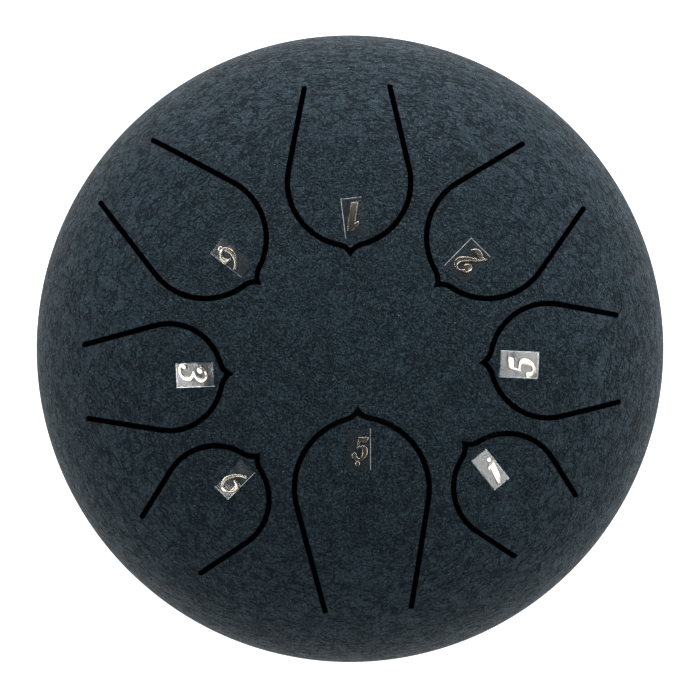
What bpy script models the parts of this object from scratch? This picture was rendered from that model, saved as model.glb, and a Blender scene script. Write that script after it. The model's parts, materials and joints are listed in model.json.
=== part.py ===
"""A six-inch steel tongue drum with eight notes.

Two pressed steel shells are welded together at the equator. Eight tongues are cut in the dome by slots
that end in a small point, a sound hole opens the bowl below, and three rubber feet are screwed under it.
Each tongue carries a clear film with a bright metal numeral, whose top points to the drum's middle.

Lengths are in metres. The drum stands on z = 0 with its axis on Z, and the "one" tongue lies towards +Y.
"""

import math
from typing import NamedTuple

import bmesh
import bpy
from mathutils import Matrix, Vector

MM = 0.001
GAP = 0.3 * MM  # between two pieces that touch

# Shells
SHELL_RADIUS = 77.3 * MM
SHEET = 1.5 * MM
DOME_RISE = 42.0 * MM  # from the seam up to the top
DOME_POWER = 2.25  # exponent of the superellipse that the dome's profile follows
BOWL_DROP = 36.0 * MM  # from the seam down to the flat base
BOWL_POWER = 2.25
BASE_RADIUS = 46.0 * MM  # of the flat base, where the bowl's side begins to curve up
SOUND_HOLE_RADIUS = 22.5 * MM
BEAD_WIDTH = 1.4 * MM  # of the weld between the two shells' edges
BEAD_CROWN = 0.2 * MM  # how far the weld stands out of the shells
SHELL_STEPS = 60  # facets round a shell
PROFILE_STEPS = 10  # facets from a shell's middle to its edge

# Feet and their fasteners, M3 screws with washers and nuts
FOOT_COUNT = 3
FOOT_HEIGHT = 6.5 * MM
FOOT_CIRCLE_RADIUS = 42.0 * MM
FOOT_TOP_RADIUS = 8.2 * MM
FOOT_BOTTOM_RADIUS = 7.2 * MM
FOOT_ROUNDING = 0.8 * MM
FOOT_RECESS_RADIUS = 4.0 * MM
FOOT_STEPS = 24
FOOT_RECESS_DEPTH = 3.6 * MM
SCREW_RADIUS = 1.5 * MM
SCREW_LENGTH = 10.0 * MM
SCREW_HEAD_RADIUS = 2.8 * MM
SCREW_HEAD_HEIGHT = 1.5 * MM
SCREW_STEPS = 16  # facets round a screw, a washer and their holes
CROSS_LENGTH = 3.0 * MM
CROSS_WIDTH = 0.6 * MM
CROSS_DEPTH = 0.9 * MM
WASHER_RADIUS = 3.5 * MM
WASHER_THICKNESS = 0.5 * MM
NUT_ACROSS_FLATS = 5.5 * MM
NUT_HEIGHT = 2.4 * MM

# Slots: each side runs straight outwards, turns in round the belly, and turns back to meet at a point
SLOT_WIDTH = 1.4 * MM
FLARE = math.radians(11.6)  # of the slot's straight stretch, away from the tongue's axis
SHOULDER = math.radians(76.6)  # steepest turn towards the axis
POINT_ANGLE = math.radians(36.0)  # between the slot's middle line and the axis at the point
POINT_RADIUS = 5.0 * MM  # of the last stretch, which curves the other way
BELLY_STEPS = 9
POINT_STEPS = 4

# Note stickers
FILM_THICKNESS = 0.2 * MM
NUMERAL_THICKNESS = 0.3 * MM
NUMERAL_SLANT = 0.26
DOT_RADIUS = 0.75 * MM
DOT_STEPS = 12
GLYPH_WIDTH, GLYPH_HEIGHT = 64.0, 100.0  # of the drawings in GLYPHS
CURVE_STEPS = 2


class Note(NamedTuple):
    """One tongue and its sticker. Angles are in degrees from +X, and lengths in millimetres."""

    name: str
    axis: float  # direction of the tongue's root, seen from above
    offset: float  # of the tongue's axis from the drum's, to the left of that direction
    tip: float  # distance of the slot's point along the axis
    length: float  # from the point to the slot's ends
    half_width: float  # of the slot's middle lines at their ends
    film: tuple[float, float]  # place of the film's middle
    film_size: tuple[float, float]
    upright: float  # direction in which the numeral's top points
    digit: str
    digit_height: float
    digit_shift: tuple[float, float]  # of the numeral on its film, to its right and its top
    dot: int = 0  # 1 for a dot over the numeral, -1 for a dot under it


NOTES = (
    Note("one", 91.2, -0.6, 22.9, 40.7, 10.2, (0.9, 31.3), (5.1, 9.6), -83.2, "1", 7.0, (0.0, -0.3)),
    Note("two", 43.0, -3.0, 25.7, 39.1, 10.6, (28.0, 20.9), (6.6, 9.5), -134.7, "2", 7.0, (-0.4, -0.3)),
    Note("three", -176.9, 4.5, 29.2, 35.3, 8.8, (-36.9, -6.3), (5.9, 9.4), 2.6, "3", 6.8, (-0.3, -0.4)),
    Note("five", 1.6, -4.2, 31.8, 33.3, 10.4, (40.4, -3.8), (6.5, 9.6), 177.0, "5", 6.8, (-0.4, -0.4)),
    Note("six", -134.0, 1.9, 33.8, 30.8, 9.7, (-27.5, -31.3), (4.6, 9.6), 45.4, "6", 6.6, (0.2, -0.4)),
    Note("low_five", -86.9, 1.0, 14.9, 48.6, 10.3, (2.2, -24.0), (5.6, 10.0), 90.5, "5", 5.8, (0.5, 0.3), -1),
    Note("low_six", 139.9, 2.0, 27.1, 42.5, 9.8, (-28.2, 21.6), (4.6, 9.8), -37.9, "6", 5.8, (0.1, 0.5), -1),
    Note("high_one", -45.4, 3.5, 35.5, 28.5, 10.3, (33.5, -28.9), (4.7, 9.6), 129.9, "1", 5.8, (0, -0.6), 1),
)

# Numerals as closed outlines on a grid 64 wide and 100 high. True marks a corner, False a smooth point.
GLYPHS = {
    "1": [[
        (30, 3, False), (35, 0, False), (47, 0, False), (52, 3, False), (52, 100, True), (42, 100, True),
        (36, 88, False), (25, 79, False), (12, 76, True), (22, 71, False), (30, 76, True),
    ]],
    "2": [[
        (0, 2, True), (17, 8, False), (34, 1, False), (50, -1, False), (64, 17, True), (49, 13, False),
        (34, 16, False), (15, 19, True), (38, 37, False), (57, 56, False), (62, 76, False),
        (53, 94, False), (33, 101, False), (13, 94, False), (2, 77, False), (6, 63, False),
        (17, 58, False), (28, 66, False), (26, 78, False), (15, 83, True), (21, 92, False),
        (33, 96, False), (44, 89, False), (46, 74, False), (37, 56, False), (17, 32, False),
    ]],
    "3": [[
        (3, 77, False), (9, 93, False), (30, 101, False), (50, 93, False), (57, 76, False),
        (50, 61, False), (41, 53, True), (57, 45, False), (63, 27, False), (54, 7, False),
        (30, -2, False), (8, 5, False), (1, 19, False), (9, 30, False), (21, 25, False),
        (20, 10, True), (30, 4, False), (42, 11, False), (46, 28, False), (38, 43, False),
        (21, 50, True), (21, 55, True), (36, 61, False), (41, 76, False), (38, 90, False),
        (30, 96, False), (18, 92, True), (26, 79, False), (21, 68, False), (11, 66, False),
    ]],
    "5": [[
        (14, 98, True), (62, 98, True), (57, 82, True), (38, 80, False), (20, 82, True), (15, 55, True),
        (30, 62, False), (50, 56, False), (61, 34, False), (51, 9, False), (28, -2, False),
        (8, 4, False), (1, 18, False), (9, 29, False), (21, 24, False), (20, 10, True), (29, 5, False),
        (40, 12, False), (44, 33, False), (38, 49, False), (27, 54, False), (16, 48, False),
        (9, 42, True),
    ]],
    "6": [[
        (50, 101, True), (26, 86, False), (8, 60, False), (1, 34, False), (10, 9, False),
        (32, -2, False), (53, 7, False), (61, 28, False), (53, 50, False), (36, 57, False),
        (20, 48, True), (25, 66, False), (38, 84, False), (57, 98, True),
    ], [
        (31, 51, False), (19, 42, False), (16, 27, False), (21, 9, False), (32, 4, False),
        (42, 11, False), (45, 28, False), (41, 45, False),
    ]],
}

SEAM_HEIGHT = FOOT_HEIGHT + BOWL_DROP
SHELL_EDGE = BEAD_WIDTH / 2 + GAP  # from the seam to each shell's edge
CUTTER_TOP = SEAM_HEIGHT + DOME_RISE + 5 * MM
CUTTER_BOTTOM = SEAM_HEIGHT + 5 * MM


def clear_scene():
    for item in list(bpy.data.objects):
        bpy.data.objects.remove(item)


def finish(name, colour, roughness, metallic, alpha=1.0):
    material = bpy.data.materials.new(name)
    material.use_nodes = True
    shader = material.node_tree.nodes["Principled BSDF"]
    shader.inputs["Base Color"].default_value = (*colour, 1.0)
    shader.inputs["Roughness"].default_value = roughness
    shader.inputs["Metallic"].default_value = metallic
    shader.inputs["Alpha"].default_value = alpha
    material.diffuse_color = (*colour, alpha)
    return material


def add_object(name, mesh, material=None, smooth_angle=None):
    item = bpy.data.objects.new(name, mesh)
    bpy.context.scene.collection.objects.link(item)
    if material:
        mesh.materials.append(material)
    if smooth_angle is not None:
        mesh.shade_smooth()
        mesh.set_sharp_from_angle(angle=math.radians(smooth_angle))
    return item


def mesh_from(shape, name):
    bmesh.ops.recalc_face_normals(shape, faces=shape.faces)
    mesh = bpy.data.meshes.new(name)
    shape.to_mesh(mesh)
    shape.free()
    return mesh


def turned(name, profile, steps):
    """The mesh of a closed profile of (radius, height) points spun once round Z."""
    shape = bmesh.new()
    points = [shape.verts.new((radius, 0, height)) for radius, height in profile]
    edges = [shape.edges.new(pair) for pair in zip(points, points[1:] + points[:1]) if pair[0] != pair[1]]
    bmesh.ops.spin(
        shape, geom=points + edges, cent=(0, 0, 0), axis=(0, 0, 1), angle=2 * math.pi,
        steps=steps, use_merge=True,
    )
    bmesh.ops.remove_doubles(shape, verts=shape.verts, dist=1e-6)
    bmesh.ops.dissolve_degenerate(shape, dist=1e-7, edges=shape.edges)
    return mesh_from(shape, name)


def prism(name, outline, bottom, top):
    """The mesh of a vertical prism over a closed outline of (x, y) points."""
    shape = bmesh.new()
    face = shape.faces.new([shape.verts.new((x, y, bottom)) for x, y in outline])
    raised = bmesh.ops.extrude_face_region(shape, geom=[face])["geom"]
    lifted = [part for part in raised if isinstance(part, bmesh.types.BMVert)]
    bmesh.ops.translate(shape, verts=lifted, vec=(0, 0, top - bottom))
    return mesh_from(shape, name)


def add_cutter(name, mesh):
    cutter = add_object(name, mesh)
    cutter.hide_render = True
    cutter.display_type = "WIRE"
    return cutter


def boolean(item, cutter, operation):
    modifier = item.modifiers.new(cutter.name, "BOOLEAN")
    modifier.operation = operation
    modifier.object = cutter
    modifier.solver = "EXACT"


def quarter(power, start, reach, rise):
    """Points and unit normals along a quarter of a superellipse, from its flat middle to its upright edge.

    The curve starts at (start, rise), and reaches the height 0 at the radius start + reach.
    """
    found = []
    for step in range(PROFILE_STEPS + 1):
        turn = math.pi / 2 * step / PROFILE_STEPS
        across = math.sin(turn) ** (2 / power)
        up = math.cos(turn) ** (2 / power) if step < PROFILE_STEPS else 0.0
        normal = Vector((across ** (power - 1) / reach, up ** (power - 1) / rise)).normalized()
        found.append((Vector((start + across * reach, up * rise)), normal))
    return found


def dome_profile():
    base = SEAM_HEIGHT + SHELL_EDGE
    curve = quarter(DOME_POWER, 0.0, SHELL_RADIUS, DOME_RISE - SHELL_EDGE)
    outside = [(point.x, base + point.y) for point, _ in curve]
    inside = [(point.x - SHEET * normal.x, base + point.y - SHEET * normal.y) for point, normal in curve]
    return outside + inside[::-1]


def bowl_profile():
    base = SEAM_HEIGHT - SHELL_EDGE
    curve = quarter(BOWL_POWER, BASE_RADIUS, SHELL_RADIUS - BASE_RADIUS, BOWL_DROP - SHELL_EDGE)
    outside = [(point.x, base - point.y) for point, _ in curve]
    inside = [(point.x - SHEET * normal.x, base - point.y + SHEET * normal.y) for point, normal in curve]
    hole = [(SOUND_HOLE_RADIUS, FOOT_HEIGHT + SHEET), (SOUND_HOLE_RADIUS, FOOT_HEIGHT)]
    return outside + inside[::-1] + hole


def dome_point(x, y):
    """A point on the dome's outer surface over (x, y), and the unit normal there."""
    rise = DOME_RISE - SHELL_EDGE
    across = min(math.hypot(x, y) / SHELL_RADIUS, 1.0)
    up = (1 - across**DOME_POWER) ** (1 / DOME_POWER)
    steepness = across ** (DOME_POWER - 2) / SHELL_RADIUS**2
    normal = Vector((x * steepness, y * steepness, up ** (DOME_POWER - 1) / rise)).normalized()
    return Vector((x, y, SEAM_HEIGHT + SHELL_EDGE + up * rise)), normal


def dome_frame(x, y, heading, lift):
    """A frame at a height of lift over the dome, its Z along the normal and its Y towards heading."""
    point, normal = dome_point(x, y)
    along = Vector((math.cos(heading), math.sin(heading), 0))
    along = (along - along.dot(normal) * normal).normalized()
    side = along.cross(normal)
    frame = Matrix((side, along, normal)).transposed().to_4x4()
    frame.translation = point + lift * normal
    return frame


def slot_side(note, outset, root):
    """Points of one side of a slot from the tongue's root to its point, at outset from its middle line.

    The first coordinate runs along the tongue's axis from the slot's ends, the second away from the axis.
    """
    length, half_width = note.length * MM, note.half_width * MM
    sin_flare, cos_flare = math.sin(FLARE), math.cos(FLARE)
    sin_shoulder, cos_shoulder = math.sin(SHOULDER), math.cos(SHOULDER)
    run = length - POINT_RADIUS * (sin_shoulder - math.sin(POINT_ANGLE))
    fall = -half_width - POINT_RADIUS * (cos_shoulder - math.cos(POINT_ANGLE))
    turn = cos_flare * (cos_shoulder - cos_flare) - sin_flare * (sin_flare + sin_shoulder)
    straight = (run * (cos_shoulder - cos_flare) - fall * (sin_flare + sin_shoulder)) / turn
    belly = (cos_flare * fall - sin_flare * run) / turn
    belly_centre = (straight * cos_flare + belly * sin_flare,
                    half_width + straight * sin_flare - belly * cos_flare)
    point_centre = (length + POINT_RADIUS * math.sin(POINT_ANGLE),
                    POINT_RADIUS * math.cos(POINT_ANGLE))
    slope = sin_flare / cos_flare
    points = [(root, half_width + outset / cos_flare + root * slope)]
    for step in range(BELLY_STEPS + 1):
        heading = FLARE - (FLARE + SHOULDER) * step / BELLY_STEPS
        points.append((belly_centre[0] - (belly + outset) * math.sin(heading),
                       belly_centre[1] + (belly + outset) * math.cos(heading)))
    closing = math.acos(point_centre[1] / (POINT_RADIUS - outset))
    for step in range(1, POINT_STEPS + 1):
        heading = SHOULDER + (closing - SHOULDER) * step / POINT_STEPS
        points.append((point_centre[0] - (POINT_RADIUS - outset) * math.sin(heading),
                       point_centre[1] - (POINT_RADIUS - outset) * math.cos(heading)))
    points[-1] = (points[-1][0], 0.0)
    return points


def tongue_outline(note, outset, root):
    """The closed outline, in the drum's plan, of one edge of a slot with a straight line across its root."""
    side = slot_side(note, outset, root)
    local = side + [(along, -across) for along, across in side[-2::-1]]
    angle = math.radians(note.axis)
    out = Vector((math.cos(angle), math.sin(angle)))
    left = Vector((-out.y, out.x))
    far = (note.tip + note.length) * MM
    return [tuple(out * (far - along) + left * (across + note.offset * MM)) for along, across in local]


def root_frame(note):
    """The tongue's hinge frame: at the middle of its root and of the sheet, with X across the tongue."""
    angle = math.radians(note.axis)
    far = (note.tip + note.length) * MM - GAP / 2
    x = far * math.cos(angle) - note.offset * MM * math.sin(angle)
    y = far * math.sin(angle) + note.offset * MM * math.cos(angle)
    return dome_frame(x, y, angle + math.pi, -SHEET / 2)


def hang(item, frame, pivot):
    """Places an object whose mesh is drawn in frame, as a child of the pivot empty."""
    item.data.transform(pivot.matrix_world.inverted() @ frame)
    item.parent = pivot


def make_shells(paint, weld_paint):
    dome = turned("upper_shell", dome_profile(), SHELL_STEPS)
    upper = add_object("upper_shell", dome, paint, smooth_angle=30)
    for note in NOTES:
        name, outline = "window_" + note.name, tongue_outline(note, SLOT_WIDTH / 2, 0.0)
        boolean(upper, add_cutter(name, prism(name, outline, CUTTER_BOTTOM, CUTTER_TOP)), "DIFFERENCE")

    bowl = turned("lower_shell", bowl_profile(), SHELL_STEPS)
    lower = add_object("lower_shell", bowl, paint, smooth_angle=30)
    for number in range(FOOT_COUNT):
        hole = prism("foot_hole", circle(SCREW_RADIUS + GAP, SCREW_STEPS), 0.0, SEAM_HEIGHT)
        cutter = add_cutter(f"foot_hole_{number + 1}", hole)
        cutter.location = foot_place(number)
        boolean(lower, cutter, "DIFFERENCE")

    edge, crown = BEAD_WIDTH / 2, SHELL_RADIUS + BEAD_CROWN
    bead = [
        (SHELL_RADIUS - SHEET, -edge), (SHELL_RADIUS, -edge), (crown, -edge / 2),
        (crown, edge / 2), (SHELL_RADIUS, edge), (SHELL_RADIUS - SHEET, edge),
    ]
    weld = turned("seam_weld", bead, SHELL_STEPS)
    add_object("seam_weld", weld, weld_paint, smooth_angle=50).location.z = SEAM_HEIGHT


def circle(radius, steps):
    """Points round a circle, none of them on the X or Y axis."""
    turns = [2 * math.pi * (step + 0.5) / steps for step in range(steps)]
    return [(radius * math.cos(turn), radius * math.sin(turn)) for turn in turns]


def foot_place(number):
    angle = math.radians(90 + 360 * number / FOOT_COUNT)
    return Vector((math.cos(angle), math.sin(angle), 0)) * FOOT_CIRCLE_RADIUS


def foot_mesh():
    top, bore = FOOT_HEIGHT - GAP, SCREW_RADIUS + GAP
    profile = [
        (bore, top), (FOOT_TOP_RADIUS, top), (FOOT_BOTTOM_RADIUS, FOOT_ROUNDING),
        (FOOT_BOTTOM_RADIUS - 0.3 * FOOT_ROUNDING, 0.3 * FOOT_ROUNDING),
        (FOOT_BOTTOM_RADIUS - FOOT_ROUNDING, 0),
        (FOOT_RECESS_RADIUS, 0), (FOOT_RECESS_RADIUS, FOOT_RECESS_DEPTH), (bore, FOOT_RECESS_DEPTH),
    ]
    return turned("rubber_foot", profile, FOOT_STEPS)


def screw_mesh(under_head):
    """A pan-head screw that points up, with the underside of its head at the height under_head."""
    low, round_from = under_head - SCREW_HEAD_HEIGHT, under_head - 0.5 * SCREW_HEAD_HEIGHT
    profile = [
        (0, low), (0.7 * SCREW_HEAD_RADIUS, low), (SCREW_HEAD_RADIUS, round_from),
        (SCREW_HEAD_RADIUS, under_head), (SCREW_RADIUS, under_head),
        (SCREW_RADIUS, under_head + SCREW_LENGTH), (0, under_head + SCREW_LENGTH),
    ]
    return turned("foot_screw", profile, SCREW_STEPS)


def cross_outline():
    arm, half = CROSS_LENGTH / 2, CROSS_WIDTH / 2
    quarter_turn = [(arm, -half), (arm, half), (half, half)]
    points = []
    for _ in range(4):
        points += quarter_turn
        quarter_turn = [(-y, x) for x, y in quarter_turn]
    return points


def ring_mesh(name, outline_radius, bore_radius, bottom, height, steps):
    profile = [(bore_radius, bottom), (outline_radius, bottom),
               (outline_radius, bottom + height), (bore_radius, bottom + height)]
    return turned(name, profile, steps)


def make_feet(rubber, steel):
    bore = SCREW_RADIUS + GAP
    washer_bottom = FOOT_RECESS_DEPTH - GAP - WASHER_THICKNESS
    under_head = washer_bottom - GAP
    nut_radius = NUT_ACROSS_FLATS / math.sqrt(3)
    nut_bottom = FOOT_HEIGHT + SHEET + GAP
    for number in range(FOOT_COUNT):
        place, suffix = foot_place(number), f"_{number + 1}"
        washer = ring_mesh("foot_washer", WASHER_RADIUS, bore, washer_bottom, WASHER_THICKNESS, SCREW_STEPS)
        nut = ring_mesh("foot_nut", nut_radius, bore, nut_bottom, NUT_HEIGHT, 6)
        pieces = [
            add_object("rubber_foot" + suffix, foot_mesh(), rubber, smooth_angle=40),
            add_object("foot_washer" + suffix, washer, steel, smooth_angle=40),
            add_object("foot_nut" + suffix, nut, steel),
        ]
        screw = add_object("foot_screw" + suffix, screw_mesh(under_head), steel, smooth_angle=40)
        cross = prism("cross", cross_outline(), under_head - SCREW_HEAD_HEIGHT - MM,
                      under_head - SCREW_HEAD_HEIGHT + CROSS_DEPTH)
        cutter = add_cutter("cross" + suffix, cross)
        boolean(screw, cutter, "DIFFERENCE")
        for piece in [*pieces, screw, cutter]:
            piece.location = place


def numeral_mesh(note):
    """A numeral as a flat plate in its film's frame, made from its Bezier outlines."""
    curve = bpy.data.curves.new("numeral_" + note.name, "CURVE")
    curve.dimensions = "2D"
    curve.fill_mode = "BOTH"
    curve.resolution_u = CURVE_STEPS
    curve.extrude = NUMERAL_THICKNESS / 2
    size = note.digit_height * MM / GLYPH_HEIGHT
    for outline in GLYPHS[note.digit]:
        spline = curve.splines.new("BEZIER")
        spline.bezier_points.add(len(outline) - 1)
        spline.use_cyclic_u = True
        for point, (across, up, corner) in zip(spline.bezier_points, outline):
            high = up - GLYPH_HEIGHT / 2
            wide = across - GLYPH_WIDTH / 2 + NUMERAL_SLANT * high
            point.co = (wide * size + note.digit_shift[0] * MM, high * size + note.digit_shift[1] * MM, 0)
            point.handle_left_type = point.handle_right_type = "VECTOR" if corner else "AUTO"
    drawn = bpy.data.objects.new("drawn_" + note.name, curve)
    bpy.context.scene.collection.objects.link(drawn)
    mesh = bpy.data.meshes.new_from_object(drawn.evaluated_get(bpy.context.evaluated_depsgraph_get()))
    bpy.data.objects.remove(drawn)
    shape = bmesh.new()
    shape.from_mesh(mesh)
    bmesh.ops.remove_doubles(shape, verts=shape.verts, dist=1e-6)
    return mesh_from(shape, "numeral_" + note.name)


def dot_mesh(note):
    """The octave dot over or under a numeral, in the film's frame."""
    high = note.digit_height * MM / 2 + DOT_RADIUS + GAP
    middle = (note.digit_shift[0] * MM + NUMERAL_SLANT * high * note.dot,
              note.digit_shift[1] * MM + high * note.dot)
    outline = [(middle[0] + x, middle[1] + y) for x, y in circle(DOT_RADIUS, DOT_STEPS)]
    return prism("octave_dot_" + note.name, outline, -NUMERAL_THICKNESS / 2, NUMERAL_THICKNESS / 2)


def make_tongue(note, paint, clear_film, bright_metal):
    pivot = bpy.data.objects.new("hinge_" + note.name, None)
    bpy.context.scene.collection.objects.link(pivot)
    pivot.matrix_world = root_frame(note)
    bpy.context.view_layer.update()

    name, outline = "blank_" + note.name, tongue_outline(note, -SLOT_WIDTH / 2, GAP)
    cutter = add_cutter(name, prism(name, outline, CUTTER_BOTTOM, CUTTER_TOP))
    sheet = turned("tongue_" + note.name, dome_profile(), SHELL_STEPS)
    tongue = add_object("tongue_" + note.name, sheet, paint, smooth_angle=30)
    boolean(tongue, cutter, "INTERSECT")
    hang(tongue, Matrix.Identity(4), pivot)

    x, y = (value * MM for value in note.film)
    heading = math.radians(note.upright)
    film_frame = dome_frame(x, y, heading, GAP + FILM_THICKNESS / 2)
    half_wide, half_long = (value * MM / 2 for value in note.film_size)
    corners = [(-half_wide, -half_long), (half_wide, -half_long),
               (half_wide, half_long), (-half_wide, half_long)]
    film = prism("film_" + note.name, corners, -FILM_THICKNESS / 2, FILM_THICKNESS / 2)
    hang(add_object("film_" + note.name, film, clear_film), film_frame, pivot)

    numeral_lift = 2 * GAP + FILM_THICKNESS + NUMERAL_THICKNESS / 2
    numeral_frame = dome_frame(x, y, heading, numeral_lift)
    hang(add_object("numeral_" + note.name, numeral_mesh(note), bright_metal), numeral_frame, pivot)
    if note.dot:
        hang(add_object("octave_dot_" + note.name, dot_mesh(note), bright_metal), numeral_frame, pivot)


def main():
    clear_scene()
    paint = finish("textured_blue_black_paint", (0.016, 0.025, 0.033), 0.55, 0.1)
    weld_paint = finish("weld_paint", (0.014, 0.022, 0.029), 0.6, 0.1)
    rubber = finish("black_rubber", (0.012, 0.012, 0.012), 0.8, 0.0)
    steel = finish("zinc_plated_steel", (0.62, 0.62, 0.60), 0.3, 1.0)
    clear_film = finish("clear_film", (0.8, 0.85, 0.88), 0.15, 0.0, alpha=0.25)
    bright_metal = finish("bright_nickel", (0.86, 0.84, 0.78), 0.12, 1.0)
    make_shells(paint, weld_paint)
    make_feet(rubber, steel)
    for note in NOTES:
        make_tongue(note, paint, clear_film, bright_metal)


main()
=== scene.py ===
"""A six-inch steel tongue drum with eight notes, dressed for a studio picture.

Two pressed shells meet at a ground weld. Eight slots free the tongues of the dome, and each tongue carries
a clear film with a bright numeral. The bowl below has a sound hole and three rubber feet on screws.

Lengths are in metres. The drum stands on z = 0 with its axis on Z.
"""

import json
import logging
import math
from dataclasses import dataclass, field
from enum import Enum

import bmesh
import bpy
import numpy as np
from mathutils import Matrix, Vector, noise

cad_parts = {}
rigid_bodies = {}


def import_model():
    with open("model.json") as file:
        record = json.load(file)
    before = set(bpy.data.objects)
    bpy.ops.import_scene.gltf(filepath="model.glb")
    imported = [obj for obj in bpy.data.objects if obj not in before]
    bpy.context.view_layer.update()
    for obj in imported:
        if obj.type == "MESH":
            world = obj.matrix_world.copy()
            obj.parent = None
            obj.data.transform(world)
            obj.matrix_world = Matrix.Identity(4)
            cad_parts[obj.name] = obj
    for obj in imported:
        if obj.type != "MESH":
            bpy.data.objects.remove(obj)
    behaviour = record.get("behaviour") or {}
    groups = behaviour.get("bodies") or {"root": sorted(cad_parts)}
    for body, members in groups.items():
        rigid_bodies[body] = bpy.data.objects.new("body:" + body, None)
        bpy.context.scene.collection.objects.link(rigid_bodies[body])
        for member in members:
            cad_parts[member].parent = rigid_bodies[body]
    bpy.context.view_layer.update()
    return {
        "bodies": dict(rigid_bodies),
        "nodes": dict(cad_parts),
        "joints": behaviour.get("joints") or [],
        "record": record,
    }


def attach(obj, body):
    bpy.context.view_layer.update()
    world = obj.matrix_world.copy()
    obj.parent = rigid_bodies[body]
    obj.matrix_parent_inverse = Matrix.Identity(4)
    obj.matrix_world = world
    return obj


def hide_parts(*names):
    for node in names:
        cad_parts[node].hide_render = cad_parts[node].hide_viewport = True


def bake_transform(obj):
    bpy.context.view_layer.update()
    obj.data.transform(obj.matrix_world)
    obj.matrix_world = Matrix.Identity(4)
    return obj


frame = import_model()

MM = 0.001
TOUCHING = 1e-7  # metres between two points that are one
LOG = logging.getLogger("tongue_drum")

Colour = tuple[float, float, float]
Point2 = tuple[float, float]


class Slot(Enum):
    """The record's material slots."""

    SHELL_PAINT = "shell_paint"
    WELD_PAINT = "weld_paint"
    RUBBER = "rubber"
    ZINC_STEEL = "zinc_steel"
    CLEAR_FILM = "clear_film"
    BRIGHT_NICKEL = "bright_nickel"


class FilmEdge(Enum):
    """How strongly a film's cut edges are painted with a highlight: left, right, bottom and top, seen with
    its numeral upright.
    """

    CUT = (0.10, 1.0, 0.40, 0.03)
    BOTH_TORN = (0.6, 0.8, 0.5, 0.08)
    PLAIN = (0.09, 0.26, 0.20, 0.07)
    FAINT = (0.04, 0.8, 0.0, 0.03)

    @property
    def torn(self) -> tuple[bool, bool]:
        """Whether the left and the right edge were torn over a toothed blade."""
        return self is FilmEdge.BOTH_TORN, self is not FilmEdge.PLAIN


# ---------------------------------------------------------------------------
# Tools


def new_object(mesh: bpy.types.Mesh, name: str, *materials: bpy.types.Material) -> bpy.types.Object:
    """Links a mesh into the scene as an object at the origin.

    Args:
        mesh: the mesh.
        name: the name of the mesh and its object.
        materials: the materials, in the order of the faces' material indices.

    Returns:
        The new object.
    """
    mesh.name = name
    item = bpy.data.objects.new(name, mesh)
    bpy.context.scene.collection.objects.link(item)
    if materials:
        mesh.materials.clear()
        for material in materials:
            mesh.materials.append(material)
    return item


def smooth(mesh: bpy.types.Mesh, angle: float) -> None:
    """Shades a mesh smooth, apart from edges sharper than an angle in degrees."""
    mesh.shade_smooth()
    mesh.set_sharp_from_angle(angle=math.radians(angle))


def mesh_from(shape: bmesh.types.BMesh, smooth_angle: float | None = None) -> bpy.types.Mesh:
    """Turns a closed bmesh into a mesh whose faces point outwards, and frees it.

    Args:
        shape: the bmesh, which is freed.
        smooth_angle: the angle in degrees over which an edge stays sharp, or None for flat faces.

    Returns:
        The mesh.
    """
    bmesh.ops.remove_doubles(shape, verts=shape.verts, dist=TOUCHING)
    bmesh.ops.recalc_face_normals(shape, faces=shape.faces)
    mesh = bpy.data.meshes.new("made")
    shape.to_mesh(mesh)
    shape.free()
    if smooth_angle is not None:
        smooth(mesh, smooth_angle)
    return mesh


def turned(profile: list[Point2], steps: int, smooth_angle: float = 30.0) -> bpy.types.Mesh:
    """Spins a closed profile once round Z.

    Args:
        profile: points of radius and height round the profile.
        steps: facets round the axis.
        smooth_angle: the angle in degrees over which an edge stays sharp.

    Returns:
        The turned mesh.
    """
    shape = bmesh.new()
    points = [shape.verts.new((radius, 0.0, height)) for radius, height in profile]
    edges = [shape.edges.new((points[i - 1], points[i])) for i in range(len(points))]
    bmesh.ops.spin(
        shape, geom=points + edges, cent=(0, 0, 0), axis=(0, 0, 1), angle=2 * math.pi,
        steps=steps, use_merge=True,
    )
    bmesh.ops.remove_doubles(shape, verts=shape.verts, dist=TOUCHING)
    bmesh.ops.dissolve_degenerate(shape, dist=TOUCHING / 10, edges=shape.edges)
    return mesh_from(shape, smooth_angle)


def rounded_profile(corners: list[tuple[float, float, float]], steps: int = 4) -> list[Point2]:
    """Rounds the corners of a closed profile.

    Args:
        corners: radius, height and the length cut off at each corner.
        steps: facets round a corner.

    Returns:
        The profile's points.
    """
    points: list[Point2] = []
    for index, (x, y, cut) in enumerate(corners):
        here = Vector((x, y))
        if cut <= 0:
            points.append((x, y))
            continue
        before = Vector(corners[index - 1][:2]) - here
        after = Vector(corners[(index + 1) % len(corners)][:2]) - here
        start, end = here + before.normalized() * cut, here + after.normalized() * cut
        for step in range(steps + 1):
            t = step / steps
            bend = start * (1 - t) ** 2 + here * 2 * t * (1 - t) + end * t**2
            points.append((bend.x, bend.y))
    return points


def loft(loops: list[list[Vector]], band_materials: list[int] | None = None) -> bmesh.types.BMesh:
    """Bridges closed loops of as many points each, and closes both ends with a flat face.

    Args:
        loops: the loops in order, with matching points.
        band_materials: the material index of each band between two loops.

    Returns:
        The closed bmesh.
    """
    shape = bmesh.new()
    rings = []
    for loop in loops:
        verts = [shape.verts.new(point) for point in loop]
        rings.append((verts, [shape.edges.new((verts[i - 1], verts[i])) for i in range(len(verts))]))
    for index, ((_, low), (_, high)) in enumerate(zip(rings, rings[1:])):
        made = bmesh.ops.bridge_loops(shape, edges=low + high)["faces"]
        if len(made) != len(loops[0]):
            raise ValueError(f"{len(made)} faces between loops of {len(loops[0])} points")
        for face in made:
            face.material_index = band_materials[index] if band_materials else 0
    shape.faces.new(rings[0][0])
    shape.faces.new(rings[-1][0])
    bmesh.ops.recalc_face_normals(shape, faces=shape.faces)
    return shape


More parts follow.
